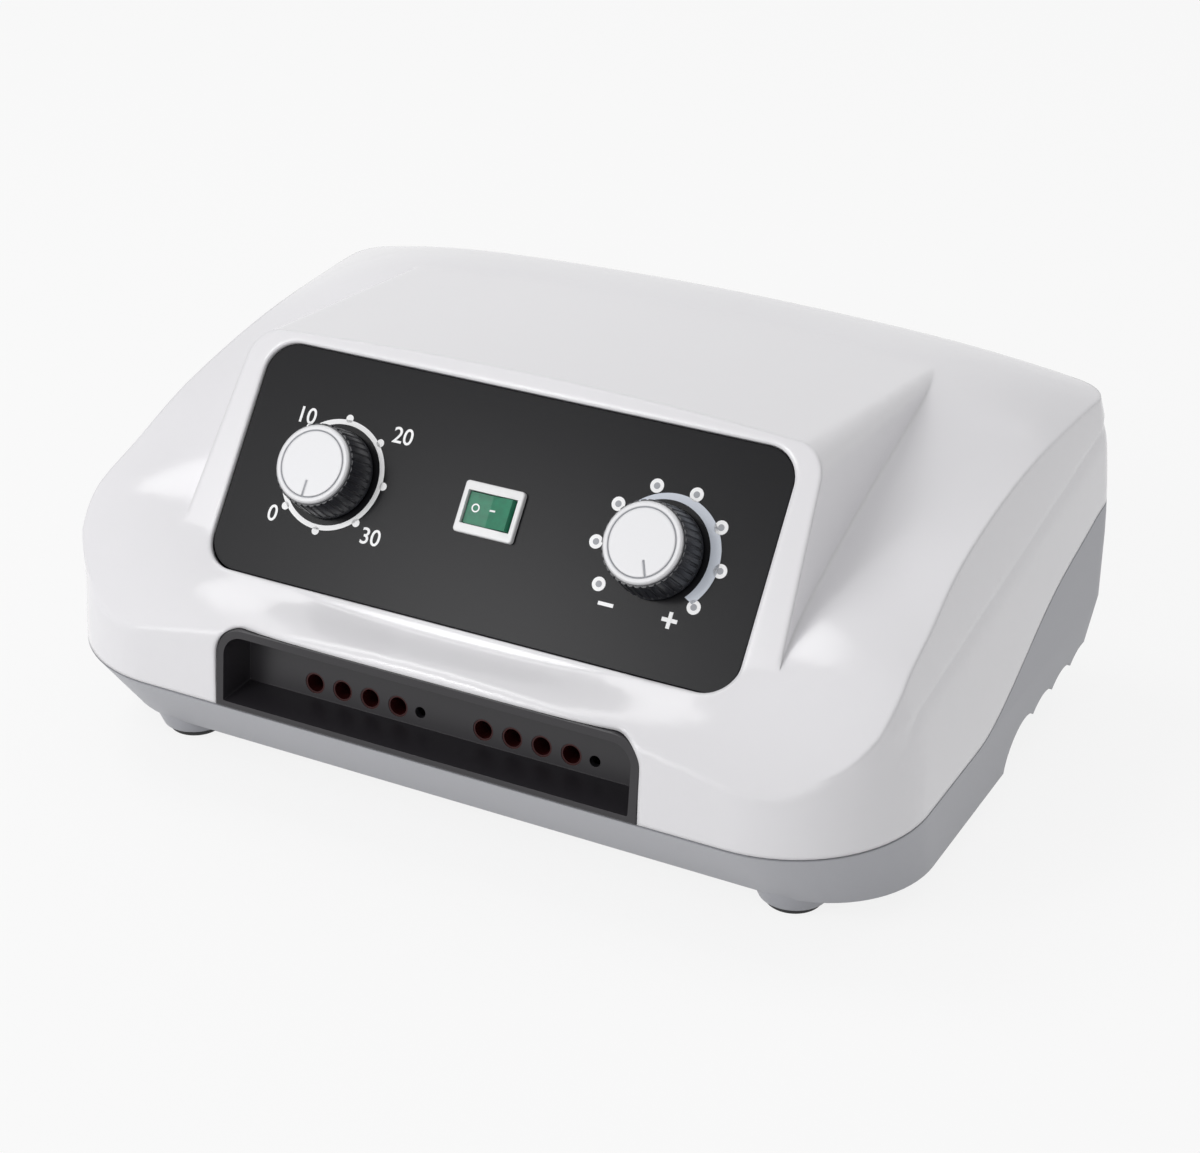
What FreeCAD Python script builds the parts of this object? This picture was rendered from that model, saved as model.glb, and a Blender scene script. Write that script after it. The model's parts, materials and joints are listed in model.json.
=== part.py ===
"""Console of an air-compression therapy pump.

A glossy moulded cover with a raised, sloping control pod sits on a grey base
tray. The pod carries two rotary knobs and a lit rocker switch. Below it a
recessed bezel holds two rows of four hose ports. Inside are a linear
diaphragm pump, a turning distributor valve, a spring timer and a pressure
regulator. Units are millimetres, +Z is up and the front faces -Y. The origin
is the middle of the bounding box's bottom face.
"""

import FreeCAD, Part
import math
import os

V = FreeCAD.Vector

# ---------------------------------------------------------------- housing
WIDTH = 304.0                 # overall, at the foot of the skirt
DEPTH = 220.0                 # overall, front seam to back wall
REAR_FLARE = 2.5              # the back is this much wider on each side
WALL = 2.6                    # moulded wall of cover and base
FRONT_CORNER = 47.0           # plan radius of the skirt's front corners
BACK_CORNER = 18.5            # plan radius of the skirt's back corners
FLOOR_HEIGHT = 8.5            # underside of the base above the ground
SEAM_FRONT = 37.0             # height of the cover's lower edge at the front
SEAM_REAR = 74.0              # height of the cover's lower edge at the back
SEAM_RISE_START = 88.0        # where that edge starts to climb, from the front
SEAM_GAP = 0.5                # shadow gap between cover and base
LIP_HEIGHT = 68.0             # front lip above the ground, at the pod's foot
LIP_RADIUS = 4.5              # roll of the lip into the front face
FACE_TILT = 82.7              # slope of the front face, from horizontal
FACE_SETBACK = 0.4            # foot of the front face behind the front seam
BASE_TAPER_FRONT = 24.0       # how far the base's front runs in at its foot
BASE_CORNER = 38.0            # plan radius of the base's front corners at its foot
BASE_TAPER_SIDE = 2.5         # how far its sides run in
BASE_TAPER_REAR = 14.0        # how far its back runs in

# The crease runs round the cover where the hood meets the steep band.
CREASE_FRONT = 84.7           # its mean plane's height at the front
CREASE_REAR = 121.0           # and at the back
CREASE_INSET = 7.5            # its distance inside the skirt's foot
BAND_RUN = 0.25               # outward run of the band for each mm of drop
BAND_DROP = 14.0              # height of the band
BAND_FRONT = 8.5              # foot of the band behind the front seam
BAND_CORNER = 30.0            # plan radius of the band's foot at the front corners
# Skirt profile, also the front lip's roll: (inset, level over the crease)
SKIRT = [(15.0, -9.0), (11.0, -11.0), (8.0, -13.0), (5.8, -15.0), (4.3, -17.0), (2.8, -21.0),
         (1.8, -28.0), (1.0, -37.0), (0.35, -47.0), (0.0, -62.0)]
SKIRT_FOOT = -170.0           # level at which the skirt's upright part ends
BAND_TOP = 24.0               # level at which the band's plateau ends

# Hood surface rows: (distance behind the front, heights over the lip at the
# centre, the shoulder and the crease)
HOOD_FRONT = [(-4.0, -2.0, -14.0, -27.0), (0.0, -0.6, -11.5, -22.5),
              (4.0, 0.5, -8.5, -17.5), (9.0, 1.3, -4.0, -11.0),
              (16.0, 1.4, 1.5, -2.0), (24.0, 2.4, 8.0, 7.5),
              (37.0, 10.0, 18.0, 18.0)]
# Rows further back: (share of the depth, shares of the rise from lip to top)
HOOD_REAR = [(0.25, 0.33, 0.375, 0.34), (0.35, 0.50, 0.475, 0.455),
             (0.45, 0.61, 0.565, 0.53), (0.58, 0.74, 0.665, 0.59),
             (0.67, 0.82, 0.735, 0.615), (0.735, 0.845, 0.785, 0.627),
             (0.80, 0.845, 0.80, 0.634), (0.88, 0.825, 0.775, 0.635),
             (0.96, 0.755, 0.70, 0.61), (1.04, 0.67, 0.60, 0.565)]

# ---------------------------------------------------------------- pod, panel
PANEL_WIDTH = 191.4
PANEL_HEIGHT = 78.3
PANEL_CORNER = 11.0
PANEL_THICKNESS = 2.0
PANEL_SUNK = 0.8              # panel face below the pod's border
PANEL_GAP = 0.3               # round the panel in its pocket
PANEL_TILT = 52.4             # from horizontal
BORDER_SIDE = 7.5
BORDER_TOP = 6.5
BORDER_FOOT = 6.0
SHELF_DEPTH = 21.5            # foot of the pod's face behind the front
POD_REAR = 0.88               # share of the depth where the pod ends inside the hood
POD_ROOT = 18.0               # how far the pod is carried down into the hood
POD_CROWN = 3.0               # arch of the pod's top
POD_FALL = 0.117              # backward slope of the pod's top
CHEEK_FLARE = 0.08            # outward lean of the cheeks
POD_EDGE_RADIUS = 13.0        # along the pod's top, at its front
POD_EDGE_REAR = 5.0           # and where it runs out

# ---------------------------------------------------------------- knobs
DIAL_SPACING = 118.4          # between the two knob shafts
DIAL_DROP = 0.8               # shafts below the panel's middle line
KNOB_RADIUS = 15.0
KNOB_HEIGHT = 13.5
KNOB_LIFT = 1.0               # knob above the panel
KNOB_TAPER = 1.2
KNOB_ROOF = 4.0               # material left above the knob's hollow
KNOB_RECESS = 4.2             # hub's foot above the skirt's foot
KNOB_FLUTES = 36
FLUTE_RADIUS = 0.55
CAP_RADIUS = 13.0
CAP_THICKNESS = 1.6
BUSH_PROUD = 3.2              # end of the threaded bush above the panel
NUT_RADIUS = 7.0
NUT_THICKNESS = 2.4
NUT_CLEAR = 8.0               # length of the shaft's D end
SHAFT_RADIUS = 3.0
SHAFT_FLAT = 1.5              # flat of the D end, from the shaft's middle
RUNNING_CLEARANCE = 0.05
BUSH_RADIUS = 4.5
TIMER_RADIUS = 23.0
TIMER_LENGTH = 30.0
TIMER_REST_ANGLE = 270.0      # pointer at the foot of the dial
PRESSURE_REST_ANGLE = 293.0   # pointer just before the plus sign
VALVE_RADIUS = 12.0
VALVE_LENGTH = 34.0

# ---------------------------------------------------------------- switch
SWITCH_WIDTH = 21.3
SWITCH_HEIGHT = 17.0
SWITCH_FLANGE = 1.8
ROCKER_WIDTH = 17.2
ROCKER_HEIGHT = 10.4
ROCKER_GAP = 0.3
ROCKER_TILT = 8.0             # each side of level
ROCKER_PIVOT = -1.0           # pivot above the panel's face
ROCKER_CROWN = 1.6            # middle of the rocker above its pivot
ROCKER_DROP = 3.5             # underside below the pivot
ROCKER_PIN = 1.2
SWITCH_WELL = 7.5             # depth of the rocker's well below the panel
SWITCH_BODY_WIDTH = 18.8
SWITCH_BODY_HEIGHT = 12.8
SWITCH_BODY_DEPTH = 16.0

# ---------------------------------------------------------------- hose ports
BEZEL_WIDTH = 153.2
BEZEL_HEIGHT = 28.2
BEZEL_CORNER = 10.0
BEZEL_RIM = 2.8
BEZEL_SILL = 1.8
BEZEL_PROUD = 0.6
BEZEL_DEPTH = 12.6            # front face to the port wall
BEZEL_WALL = 2.4
BEZEL_GAP = 0.2
BEZEL_SLOPE = 3.4             # rise of the recess floor towards the port wall
PORT_COUNT = 4
PORT_RADIUS = 3.0             # bore that takes a hose plug
PORT_PITCH = 10.45
PORT_DEPTH = 12.0
PORT_HEIGHT = 10.2            # port centres above the bezel's foot
PORT_GROUP_SPACING = 62.6
KEY_RADIUS = 1.9
KEY_OFFSET = 8.3              # locating hole beyond the last port
SEAL_WALL = 0.6
SEAL_FIT = 0.02
SOCKET_HEIGHT = 12.0
SOCKET_DEPTH = 15.0
SOCKET_MARGIN = 6.2
NIPPLE_RADIUS = 2.4
NIPPLE_BORE = 1.5
NIPPLE_LENGTH = 7.0
HOSE_WALL = 0.9
HOSE_FIT = 0.02
HOSE_BEND = 7.0

# ---------------------------------------------------------------- manifold
MANIFOLD_SETBACK = 62.0       # its face behind the front face
MANIFOLD_SIZE = (112.0, 22.0, 24.0)
MANIFOLD_X = -4.0
SPOOL_RADIUS = 6.0
SPOOL_GROOVE = 1.2
SPOOL_MARGIN = 4.0
LEG_SIZE = (12.0, 16.0)
MOTOR_RADIUS = 10.0
MOTOR_LENGTH = 20.0
MOTOR_SHAFT = 2.0
SUPPLY_X = -5.0
SUPPLY_RISE = 6.0             # hose nipple above the pump's axis
CONTROL_X = 36.0

# ---------------------------------------------------------------- feet
FRONT_FOOT = (38.5, 37.0)     # inside the side, and behind the front seam
REAR_FOOT = (25.5, 29.0)      # inside the side, and before the back wall
FOOT_RADIUS = 9.5
FOOT_PROUD = 3.0
FOOT_SEAT = 2.0
FOOT_GAP = 0.1
BOSS_RADIUS = 15.0
BOSS_FOOT_RADIUS = 11.5
BOSS_HEIGHT = 9.0

# ---------------------------------------------------------------- pump
PUMP_X = -46.0
PUMP_BACK = 70.0              # middle of the pump before the back wall
PLATE_SIZE = (132.0, 62.0, 2.0)
PLATE_HEIGHT = 20.0           # plate's underside above the ground
MOUNT_RADIUS = 6.0
MOUNT_WAIST = 4.5
MOUNT_SPREAD = (114.0, 46.0)
CORE_SIZE = (44.0, 40.0)
HEAD_RADIUS = 25.0
HEAD_LENGTH = 20.0
HEAD_CAVITY = 19.0
HEAD_SPAN = 62.0              # between the two diaphragms
DIAPHRAGM_RADIUS = 23.0
DIAPHRAGM_THICKNESS = 2.0
ARMATURE_SIZE = (40.0, 16.0, 20.0)
ARMATURE_ROD = 4.0
ARMATURE_GAP = 1.0
COIL_SIZE = (34.0, 8.0, 36.0)
COIL_WALL = 9.0

# ---------------------------------------------------------------- back
INLET_X = -98.0
INLET_HEIGHT = 53.0
INLET_FLANGE = (31.0, 24.0, 2.0)
INLET_BODY = (27.0, 20.0, 20.0)
INLET_CAVITY = (24.2, 16.3, 17.0)
INLET_GAP = 0.15
PIN_SIZE = (4.0, 2.0, 14.0)
PIN_PITCH = 7.0
PIN_TAIL = 6.0
FUSE_X = -66.0
FUSE_RADIUS = 6.0
FUSE_FLANGE = 8.0
FUSE_LENGTH = 24.0
LOUVRE_COUNT = 7
LOUVRE_PITCH = 8.0
LOUVRE_WIDTH = 3.4
LOUVRE_HEIGHT = 22.0
LOUVRE_BASE = 42.0
REAR_VENT_X = 66.0
SCOOP_COUNT = 4               # grip scoops along the base's lower side edges
SCOOP_RADIUS = 14.0
SCOOP_PITCH = 18.5
SCOOP_START = 137.0           # middle of the first, behind the front seam
SCOOP_LIFT = 0.5              # their axis above the base's underside
SCOOP_DEPTH = 9.0
TERMINAL_SIZE = (34.0, 16.0, 13.0)
TERMINAL_PLACE = (62.0, 44.0)   # across, and before the back wall
TERMINAL_COUNT = 4
FILTER_RADIUS = 12.0
FILTER_LENGTH = 22.0
FILTER_PLACE = (60.0, 82.0)    # across, and before the back wall

# ---------------------------------------------------------------- fasteners
SCREW_RADIUS = 1.6
SCREW_HEAD_RADIUS = 3.4
SCREW_HEAD = 2.4
SCREW_FIT = 0.05
COLUMN_RADIUS = 5.5
COLUMN_TOP = 45.0             # where the cover's columns rest on the base's
COLUMN_SIDE = 24.0             # screw columns inside the sides
COLUMN_FRONT = 76.0           # behind the front seam
COLUMN_BACK = 52.0            # before the back wall
SCREW_REACH = 12.0
BIG = 400.0

# ---------------------------------------------------------------- derived
FRONT = -DEPTH / 2
TILT = math.radians(PANEL_TILT)
HALF = WIDTH / 2
PANEL_RUN = BORDER_FOOT + PANEL_HEIGHT / 2
PANEL_Q = SHELF_DEPTH + PANEL_RUN * math.cos(TILT)
PANEL_Z = LIP_HEIGHT + PANEL_RUN * math.sin(TILT)
POD_TOP = PANEL_Z + (PANEL_HEIGHT / 2 + BORDER_TOP) * math.sin(TILT)
POD_TOP_Q = PANEL_Q + (PANEL_HEIGHT / 2 + BORDER_TOP) * math.cos(TILT)
POD_HALF = PANEL_WIDTH / 2 + BORDER_SIDE
CREASE_SLOPE = (CREASE_REAR - CREASE_FRONT) / DEPTH
BEZEL_Z = SEAM_FRONT + SEAM_GAP / 2
SOLE = FOOT_PROUD             # height of the feet bosses' undersides
HEAD_Z = PLATE_HEIGHT + PLATE_SIZE[2] + HEAD_RADIUS
PORT_XS = [side * PORT_GROUP_SPACING / 2 + (k - (PORT_COUNT - 1) / 2) * PORT_PITCH
           for side in (-1, 1) for k in range(PORT_COUNT)]
DIAL_X = DIAL_SPACING / 2


def at(q):
    """Y coordinate of a place that lies q behind the front seam."""
    return FRONT + q


# ================================================================ tools
def box(size, centre):
    """Block of the given size about a centre."""
    corner = V(centre[0] - size[0] / 2, centre[1] - size[1] / 2, centre[2] - size[2] / 2)
    return Part.makeBox(size[0], size[1], size[2], corner)


def rod(radius, start, end):
    """Round bar between two points."""
    line = V(*end) - V(*start)
    return Part.makeCylinder(radius, line.Length, V(*start), line)


def join(shapes):
    """One solid out of several that touch."""
    shapes = list(shapes)
    return shapes[0].fuse(shapes[1:]).removeSplitter() if len(shapes) > 1 else shapes[0]


def group(shapes):
    """Separate solids kept in one node."""
    return Part.makeCompound(list(shapes))


def polygon(points):
    """Closed flat wire through points."""
    points = [V(*p) for p in points]
    return Part.makePolygon(points + points[:1])


def plate(points, direction):
    """Flat polygon pushed along a direction."""
    return Part.Face(polygon(points)).extrude(V(*direction))


def loop(corners, z=0.0):
    """Closed wire round a convex polygon; each corner is (x, y, radius)."""
    points = [V(x, y, z) for x, y, r in corners]
    arcs = []
    for k, (x, y, radius) in enumerate(corners):
        here = points[k]
        back = (points[k - 1] - here).normalize()
        ahead = (points[(k + 1) % len(points)] - here).normalize()
        half = back.getAngle(ahead) / 2
        cut = radius / math.tan(half)
        apex = here + (back + ahead).normalize() * (radius / math.sin(half) - radius)
        arcs.append((here + back * cut, apex, here + ahead * cut))
    edges = []
    for k, arc in enumerate(arcs):
        edges.append(Part.Arc(*arc).toShape())
        edges.append(Part.makeLine(arc[2], arcs[(k + 1) % len(arcs)][0]))
    return Part.Wire(edges)


def rounded(width, height, corner, z=0.0, foot_corner=None):
    """Rectangle in the XY plane with rounded corners, as a wire."""
    low = corner if foot_corner is None else foot_corner
    w, h = width / 2, height / 2
    return loop([(w, -h, low), (w, h, corner), (-w, h, corner), (-w, -h, low)], z)


def slab(width, height, corner, z0, z1, foot_corner=None):
    """Rounded rectangle pushed from z0 to z1."""
    return Part.Face(rounded(width, height, corner, z0, foot_corner)).extrude(V(0, 0, z1 - z0))


def turned(profile):
    """Solid of revolution about Z from (radius, z) points."""
    wire = polygon([(r, 0, z) for r, z in profile])
    return Part.Face(wire).revolve(V(0, 0, 0), V(0, 0, 1), 360)


def on_panel(shape, x=0.0, s=0.0, spin=0.0):
    """Carry a shape from its own frame to the panel's face, with +Z outwards."""
    shape = shape.copy()
    shape.rotate(V(0, 0, 0), V(0, 0, 1), spin)
    shape.translate(V(x, s, 0))
    shape.rotate(V(0, 0, 0), V(1, 0, 0), PANEL_TILT)
    shape.translate(V(0, at(PANEL_Q), PANEL_Z))
    return shape


def on_face(shape):
    """Carry a shape to the foot of the front face, with +Y up and +Z outwards."""
    shape = shape.copy()
    shape.rotate(V(0, 0, 0), V(1, 0, 0), FACE_TILT)
    shape.translate(V(0, at(FACE_SETBACK), BEZEL_Z))
    return shape


def tube(points, radius, bend):
    """Hose through points, with round bends."""
    points = [V(*p) for p in points]
    edges, start = [], points[0]
    for before, here, after in zip(points, points[1:], points[2:]):
        back, ahead = (before - here).normalize(), (after - here).normalize()
        half = back.getAngle(ahead) / 2
        cut = bend / math.tan(half)
        middle = (back + ahead).normalize()
        apex = here + middle * (bend / math.sin(half) - bend)
        first, last = here + back * cut, here + ahead * cut
        edges.append(Part.makeLine(start, first))
        edges.append(Part.Arc(first, apex, last).toShape())
        start = last
    edges.append(Part.makeLine(start, points[-1]))
    path = Part.Wire(edges)
    ring = Part.Wire(Part.makeCircle(radius, points[0], points[1] - points[0]))
    return path.makePipeShell([ring], True, True)


# ================================================================ outer form
def plan_corners(front=0.0, front_radius=FRONT_CORNER, inset=0.0):
    """Corners of the body's plan: (start and end direction, centre, radius)."""
    side, rear = HALF, HALF + REAR_FLARE
    points = [(side, at(front), front_radius), (rear, at(DEPTH), BACK_CORNER),
              (-rear, at(DEPTH), BACK_CORNER), (-side, at(front), front_radius)]
    corners = []
    for k, (x, y, radius) in enumerate(points):
        here = V(x, y, 0)
        before, after = points[k - 1], points[(k + 1) % 4]
        back = (V(before[0], before[1], 0) - here).normalize()
        ahead = (V(after[0], after[1], 0) - here).normalize()
        half = back.getAngle(ahead) / 2
        centre = here + (back + ahead).normalize() * (radius / math.sin(half))
        cut = radius / math.tan(half)
        corners.append(((here + back * cut - centre).normalize(),
                        (here + ahead * cut - centre).normalize(), centre, radius - inset))
    return corners


def plan_wire(corners, inset, z):
    """The plan's outline, drawn in by an inset, at a height."""
    arcs = []
    for first, last, centre, radius in corners:
        middle = (first + last).normalize()
        base = centre + V(0, 0, z)
        arcs.append([base + d * (radius - inset) for d in (first, middle, last)])
    edges = []
    for k, arc in enumerate(arcs):
        edges.append(Part.Arc(*arc).toShape())
        edges.append(Part.makeLine(arc[2], arcs[(k + 1) % 4][0]))
    return Part.Wire(edges)


def swept_form(curve, tail, corners):
    """Solid whose wall is a profile carried round the plan's outline.

    The profile is a smooth curve through (inset, level) points and then
    straight lines through the tail's points.
    """
    def edges_at(direction, centre, radius):
        points = [centre + direction * (radius - i) + V(0, 0, z) for i, z in curve]
        found = []
        if len(points) > 1:
            spline = Part.BSplineCurve()
            spline.interpolate(points)
            found.append(spline.toShape())
        rest = points[-1:] + [centre + direction * (radius - i) + V(0, 0, z) for i, z in tail]
        return found + [Part.makeLine(*pair) for pair in zip(rest, rest[1:])]

    faces = []
    for k, (first, last, centre, radius) in enumerate(corners):
        turn = math.degrees(first.getAngle(last))
        onward, _, ahead, ahead_radius = corners[(k + 1) % 4]
        run = (ahead + onward * ahead_radius) - (centre + last * radius)
        faces += [e.revolve(centre, V(0, 0, 1), turn) for e in edges_at(first, centre, radius)]
        faces += [e.extrude(run) for e in edges_at(last, centre, radius)]
    for inset, z in ((curve + tail)[0], (curve + tail)[-1]):
        faces.append(Part.Face(plan_wire(corners, inset, z)))
    shell = Part.Shell(faces)
    shell.sewShape()
    return Part.Solid(shell)


def sheared(shape):
    """Lean a level form so that its levels follow the crease."""
    m = FreeCAD.Matrix()
    m.A32 = CREASE_SLOPE
    m.A34 = CREASE_FRONT - CREASE_SLOPE * FRONT
    return shape.transformGeometry(m)


def skirt_form(inset):
    """Convex lower body with the rolled front lip."""
    return sheared(swept_form(SKIRT, [(0.0, SKIRT_FOOT)], plan_corners(inset=inset)))


def band_form(inset):
    """Plateau whose sides and back are the steep band."""
    foot = CREASE_INSET - BAND_RUN * BAND_DROP
    profile = [(CREASE_INSET + BAND_RUN * BAND_TOP, BAND_TOP)]
    tail = [(foot, -BAND_DROP), (foot, SKIRT_FOOT / 2)]
    return sheared(swept_form(profile, tail, plan_corners(BAND_FRONT - foot, BAND_CORNER + foot, inset)))


def hood_rows():
    """Hood rows as (y, centre, shoulder, crease) in absolute heights."""
    rise = POD_TOP - LIP_HEIGHT
    rows = [(at(q), *(LIP_HEIGHT + h for h in heights)) for q, *heights in HOOD_FRONT]
    rows += [(at(t * DEPTH), *(LIP_HEIGHT + rise * h for h in heights)) for t, *heights in HOOD_REAR]
    return rows


def hood_form(inset):
    """Everything below the crowned hood surface."""
    shoulder, crease = POD_HALF + 0.5, HALF - CREASE_INSET
    outer = crease + (crease - shoulder)
    grid = []
    for y, centre, side, edge in hood_rows():
        fall = edge - 1.2 * (side - edge)
        middle = centre - 0.3 * (centre - side)
        half = [(shoulder * 0.55, middle), (shoulder, side), (crease, edge), (outer, fall)]
        row = [(-x, z) for x, z in reversed(half)] + [(0, centre)] + half
        grid.append([V(x, y, z - inset) for x, z in row])
    surface = Part.BSplineSurface()
    surface.interpolate(grid)
    return surface.toShape().extrude(V(0, 0, -BIG))


def pod_form(inset, level):
    """Raised pod: arched top, leaning cheeks and the sloping face."""
    top, foot = POD_TOP - inset, LIP_HEIGHT - POD_ROOT
    half = POD_HALF - inset
    spring = top - POD_CROWN
    wide = half + CHEEK_FLARE * (spring - foot)
    start, length = at(SHELF_DEPTH - POD_ROOT / 2), POD_REAR * DEPTH - SHELF_DEPTH
    lift = (POD_TOP_Q - SHELF_DEPTH + POD_ROOT / 2) * POD_FALL
    points = [V(x, start, z + lift) for x, z in
              ((-half, spring), (0, top), (half, spring), (wide, foot), (-wide, foot))]
    edges = [Part.Arc(points[0], points[1], points[2]).toShape()]
    edges += [Part.makeLine(points[k], points[(k + 1) % 5]) for k in (2, 3, 4)]
    prism = Part.Face(Part.Wire(edges)).extrude(V(0, length, -POD_FALL * length))
    radii = [POD_EDGE_RADIUS - inset / 2, POD_EDGE_REAR - inset / 2]
    for side in (-half, half):
        ridge = [e for e in prism.Edges if e.Length > length * 0.99
                 and (e.CenterOfMass - V(side, start + length / 2, spring + lift
                                         - POD_FALL * length / 2)).Length < 1.0]
        rear_first = ridge[0].Vertexes[0].Y > ridge[0].Vertexes[-1].Y
        prism = prism.makeFillet(radii[rear_first], radii[not rear_first], ridge)
    front = on_panel(box((BIG, BIG, BIG), (0, 0, BIG / 2 + level)))
    return prism.cut(front)


def seam_region(above, gap):
    """Everything above, or below, the seam between cover and base."""
    shift = gap if above else -gap
    climb = SEAM_REAR - SEAM_FRONT
    run = DEPTH - SEAM_RISE_START
    knots = [(0.0, 0.0), (0.12, 0.08), (0.3, 0.37), (0.52, 0.71), (0.75, 0.91), (1.0, 1.0)]
    points = [V(-BIG, at(SEAM_RISE_START + t * run), SEAM_FRONT + shift + h * climb) for t, h in knots]
    curve = Part.BSplineCurve()
    curve.interpolate(points, InitialTangent=V(0, 1, 0), FinalTangent=V(0, 1, 0))
    limit = BIG if above else -BIG
    first, last = V(-BIG, -BIG, points[0].z), V(-BIG, BIG, points[-1].z)
    rim = [points[-1], last, V(-BIG, BIG, limit), V(-BIG, -BIG, limit), first, points[0]]
    edges = [curve.toShape()] + [Part.makeLine(*pair) for pair in zip(rim, rim[1:])]
    return Part.Face(Part.Wire(edges)).extrude(V(2 * BIG, 0, 0))


def taper_form(inset):
    """Base's inward-running lower walls, upright above the front seam."""
    wires = []
    for z, share in ((FLOOR_HEIGHT + inset, 1.0), (SEAM_FRONT, 0.0), (BIG / 2, 0.0)):
        side = HALF - BASE_TAPER_SIDE * share - inset
        rear = side + REAR_FLARE
        front, back = at(BASE_TAPER_FRONT * share + inset), at(DEPTH - BASE_TAPER_REAR * share - inset)
        r, b = FRONT_CORNER + (BASE_CORNER - FRONT_CORNER) * share - inset, BACK_CORNER - inset
        wires.append(loop([(side, front, r), (rear, back, b), (-rear, back, b), (-side, front, r)], z))
    return Part.makeLoft(wires, True, True)


def upper_form(inset, level, lip):
    """Skirt, band and hood together with the pod."""
    lower = skirt_form(inset).fuse(band_form(inset)).common(hood_form(inset))
    if lip:
        edges = [e for e in lower.Edges if e.Length > BEZEL_WIDTH and e.BoundBox.YMax < at(15)
                 and e.BoundBox.ZMin > SEAM_FRONT]
        lower = lower.makeFillet(lip, edges)
    return lower.fuse(pod_form(inset, level))


# ================================================================ housing
def column_places():
    """Middles of the cover's screw columns."""
    x = HALF - COLUMN_SIDE
    return [(side * x, y) for side in (-1, 1) for y in (at(COLUMN_FRONT), at(DEPTH - COLUMN_BACK))]


def foot_places():
    """Middles of the four feet."""
    front = HALF - FRONT_FOOT[0], at(FRONT_FOOT[1])
    rear = HALF - REAR_FOOT[0], at(DEPTH - REAR_FOOT[1])
    return [(side * x, y) for x, y in (front, rear) for side in (-1, 1)]


def top_cover(outer, inner):
    """Glossy cover with the panel's pocket, the port opening and columns."""
    shape = outer.common(seam_region(True, SEAM_GAP / 2)).cut(inner)
    columns = [rod(COLUMN_RADIUS, (x, y, COLUMN_TOP), (x, y, POD_TOP)) for x, y in column_places()]
    shape = join([shape, group(columns).common(outer)])
    pocket = slab(PANEL_WIDTH + 2 * PANEL_GAP, PANEL_HEIGHT + 2 * PANEL_GAP,
                  PANEL_CORNER + PANEL_GAP, -PANEL_THICKNESS, BIG / 4)
    cuts = [on_panel(pocket)]
    cuts += [on_panel(rod(BUSH_RADIUS + SCREW_FIT, (0, 0, -20), (0, 0, 5)), x, -DIAL_DROP)
             for x in (-DIAL_X, DIAL_X)]
    width, height = SWITCH_BODY_WIDTH + 2 * PANEL_GAP, SWITCH_BODY_HEIGHT + 2 * PANEL_GAP
    cuts.append(on_panel(box((width, height, 30), (0, 0, -10)), 0, -DIAL_DROP))
    opening = slab(BEZEL_WIDTH + 2 * BEZEL_GAP, 2 * (BEZEL_HEIGHT + BEZEL_GAP), BEZEL_CORNER,
                   -BEZEL_DEPTH, BIG / 8)
    cuts.append(on_face(opening))
    cuts += [rod(SCREW_RADIUS + SCREW_FIT, (x, y, COLUMN_TOP - 1), (x, y, COLUMN_TOP + SCREW_REACH + 1))
             for x, y in column_places()]
    return shape.cut(group(cuts))


def side_scoops(inset):
    """Round scoops out of the base's lower side edges."""
    start, end = HALF - SCOOP_DEPTH - inset, HALF + BACK_CORNER
    z = FLOOR_HEIGHT + SCOOP_LIFT
    made = []
    for k in range(SCOOP_COUNT):
        y = at(SCOOP_START + k * SCOOP_PITCH)
        made += [rod(SCOOP_RADIUS + inset, (side * start, y, z), (side * end, y, z)) for side in (-1, 1)]
    return group(made)


def base_tray(outer, inner):
    """Grey tray with feet bosses, screw posts, vents and the rear openings."""
    shell = outer.common(taper_form(0)).common(seam_region(False, SEAM_GAP / 2)).cut(side_scoops(0))
    bosses = [Part.makeCone(BOSS_FOOT_RADIUS, BOSS_RADIUS, BOSS_HEIGHT, V(x, y, SOLE))
              for x, y in foot_places()]
    cavity = inner.common(taper_form(WALL)).cut(side_scoops(WALL))
    shape = join([shell] + bosses).cut(cavity)
    floor = FLOOR_HEIGHT
    posts = [rod(COLUMN_RADIUS, (x, y, floor), (x, y, COLUMN_TOP)) for x, y in column_places()]
    shape = join([shape] + posts)
    cuts = []
    for x, y in column_places():
        cuts.append(rod(SCREW_RADIUS + SCREW_FIT, (x, y, 0), (x, y, COLUMN_TOP + 1)))
        cuts.append(rod(SCREW_HEAD_RADIUS + 0.3, (x, y, 0), (x, y, floor + SCREW_HEAD + 1)))
    cuts += [rod(FOOT_RADIUS + FOOT_GAP, (x, y, 0), (x, y, SOLE + FOOT_SEAT)) for x, y in foot_places()]
    back = at(DEPTH)
    width, tall = INLET_BODY[0] + 2 * INLET_GAP, INLET_BODY[1] + 2 * INLET_GAP
    cuts.append(box((width, 30, tall), (INLET_X, back, INLET_HEIGHT)))
    hole = [(FUSE_X, y, INLET_HEIGHT) for y in (back - 15, back + 5)]
    cuts.append(rod(FUSE_RADIUS + INLET_GAP, *hole))
    for k in range(LOUVRE_COUNT):
        x = REAR_VENT_X + (k - (LOUVRE_COUNT - 1) / 2) * LOUVRE_PITCH
        cuts.append(box((LOUVRE_WIDTH, 20, LOUVRE_HEIGHT), (x, back, LOUVRE_BASE + LOUVRE_HEIGHT / 2)))
    return shape.cut(group(cuts))


def foot(x, y):
    """Rubber foot with a rounded sole."""
    body = rod(FOOT_RADIUS, (x, y, 0), (x, y, SOLE + FOOT_SEAT))
    return body.makeFillet(1.0, [e for e in body.Edges if e.BoundBox.ZMax < 0.1])


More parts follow.
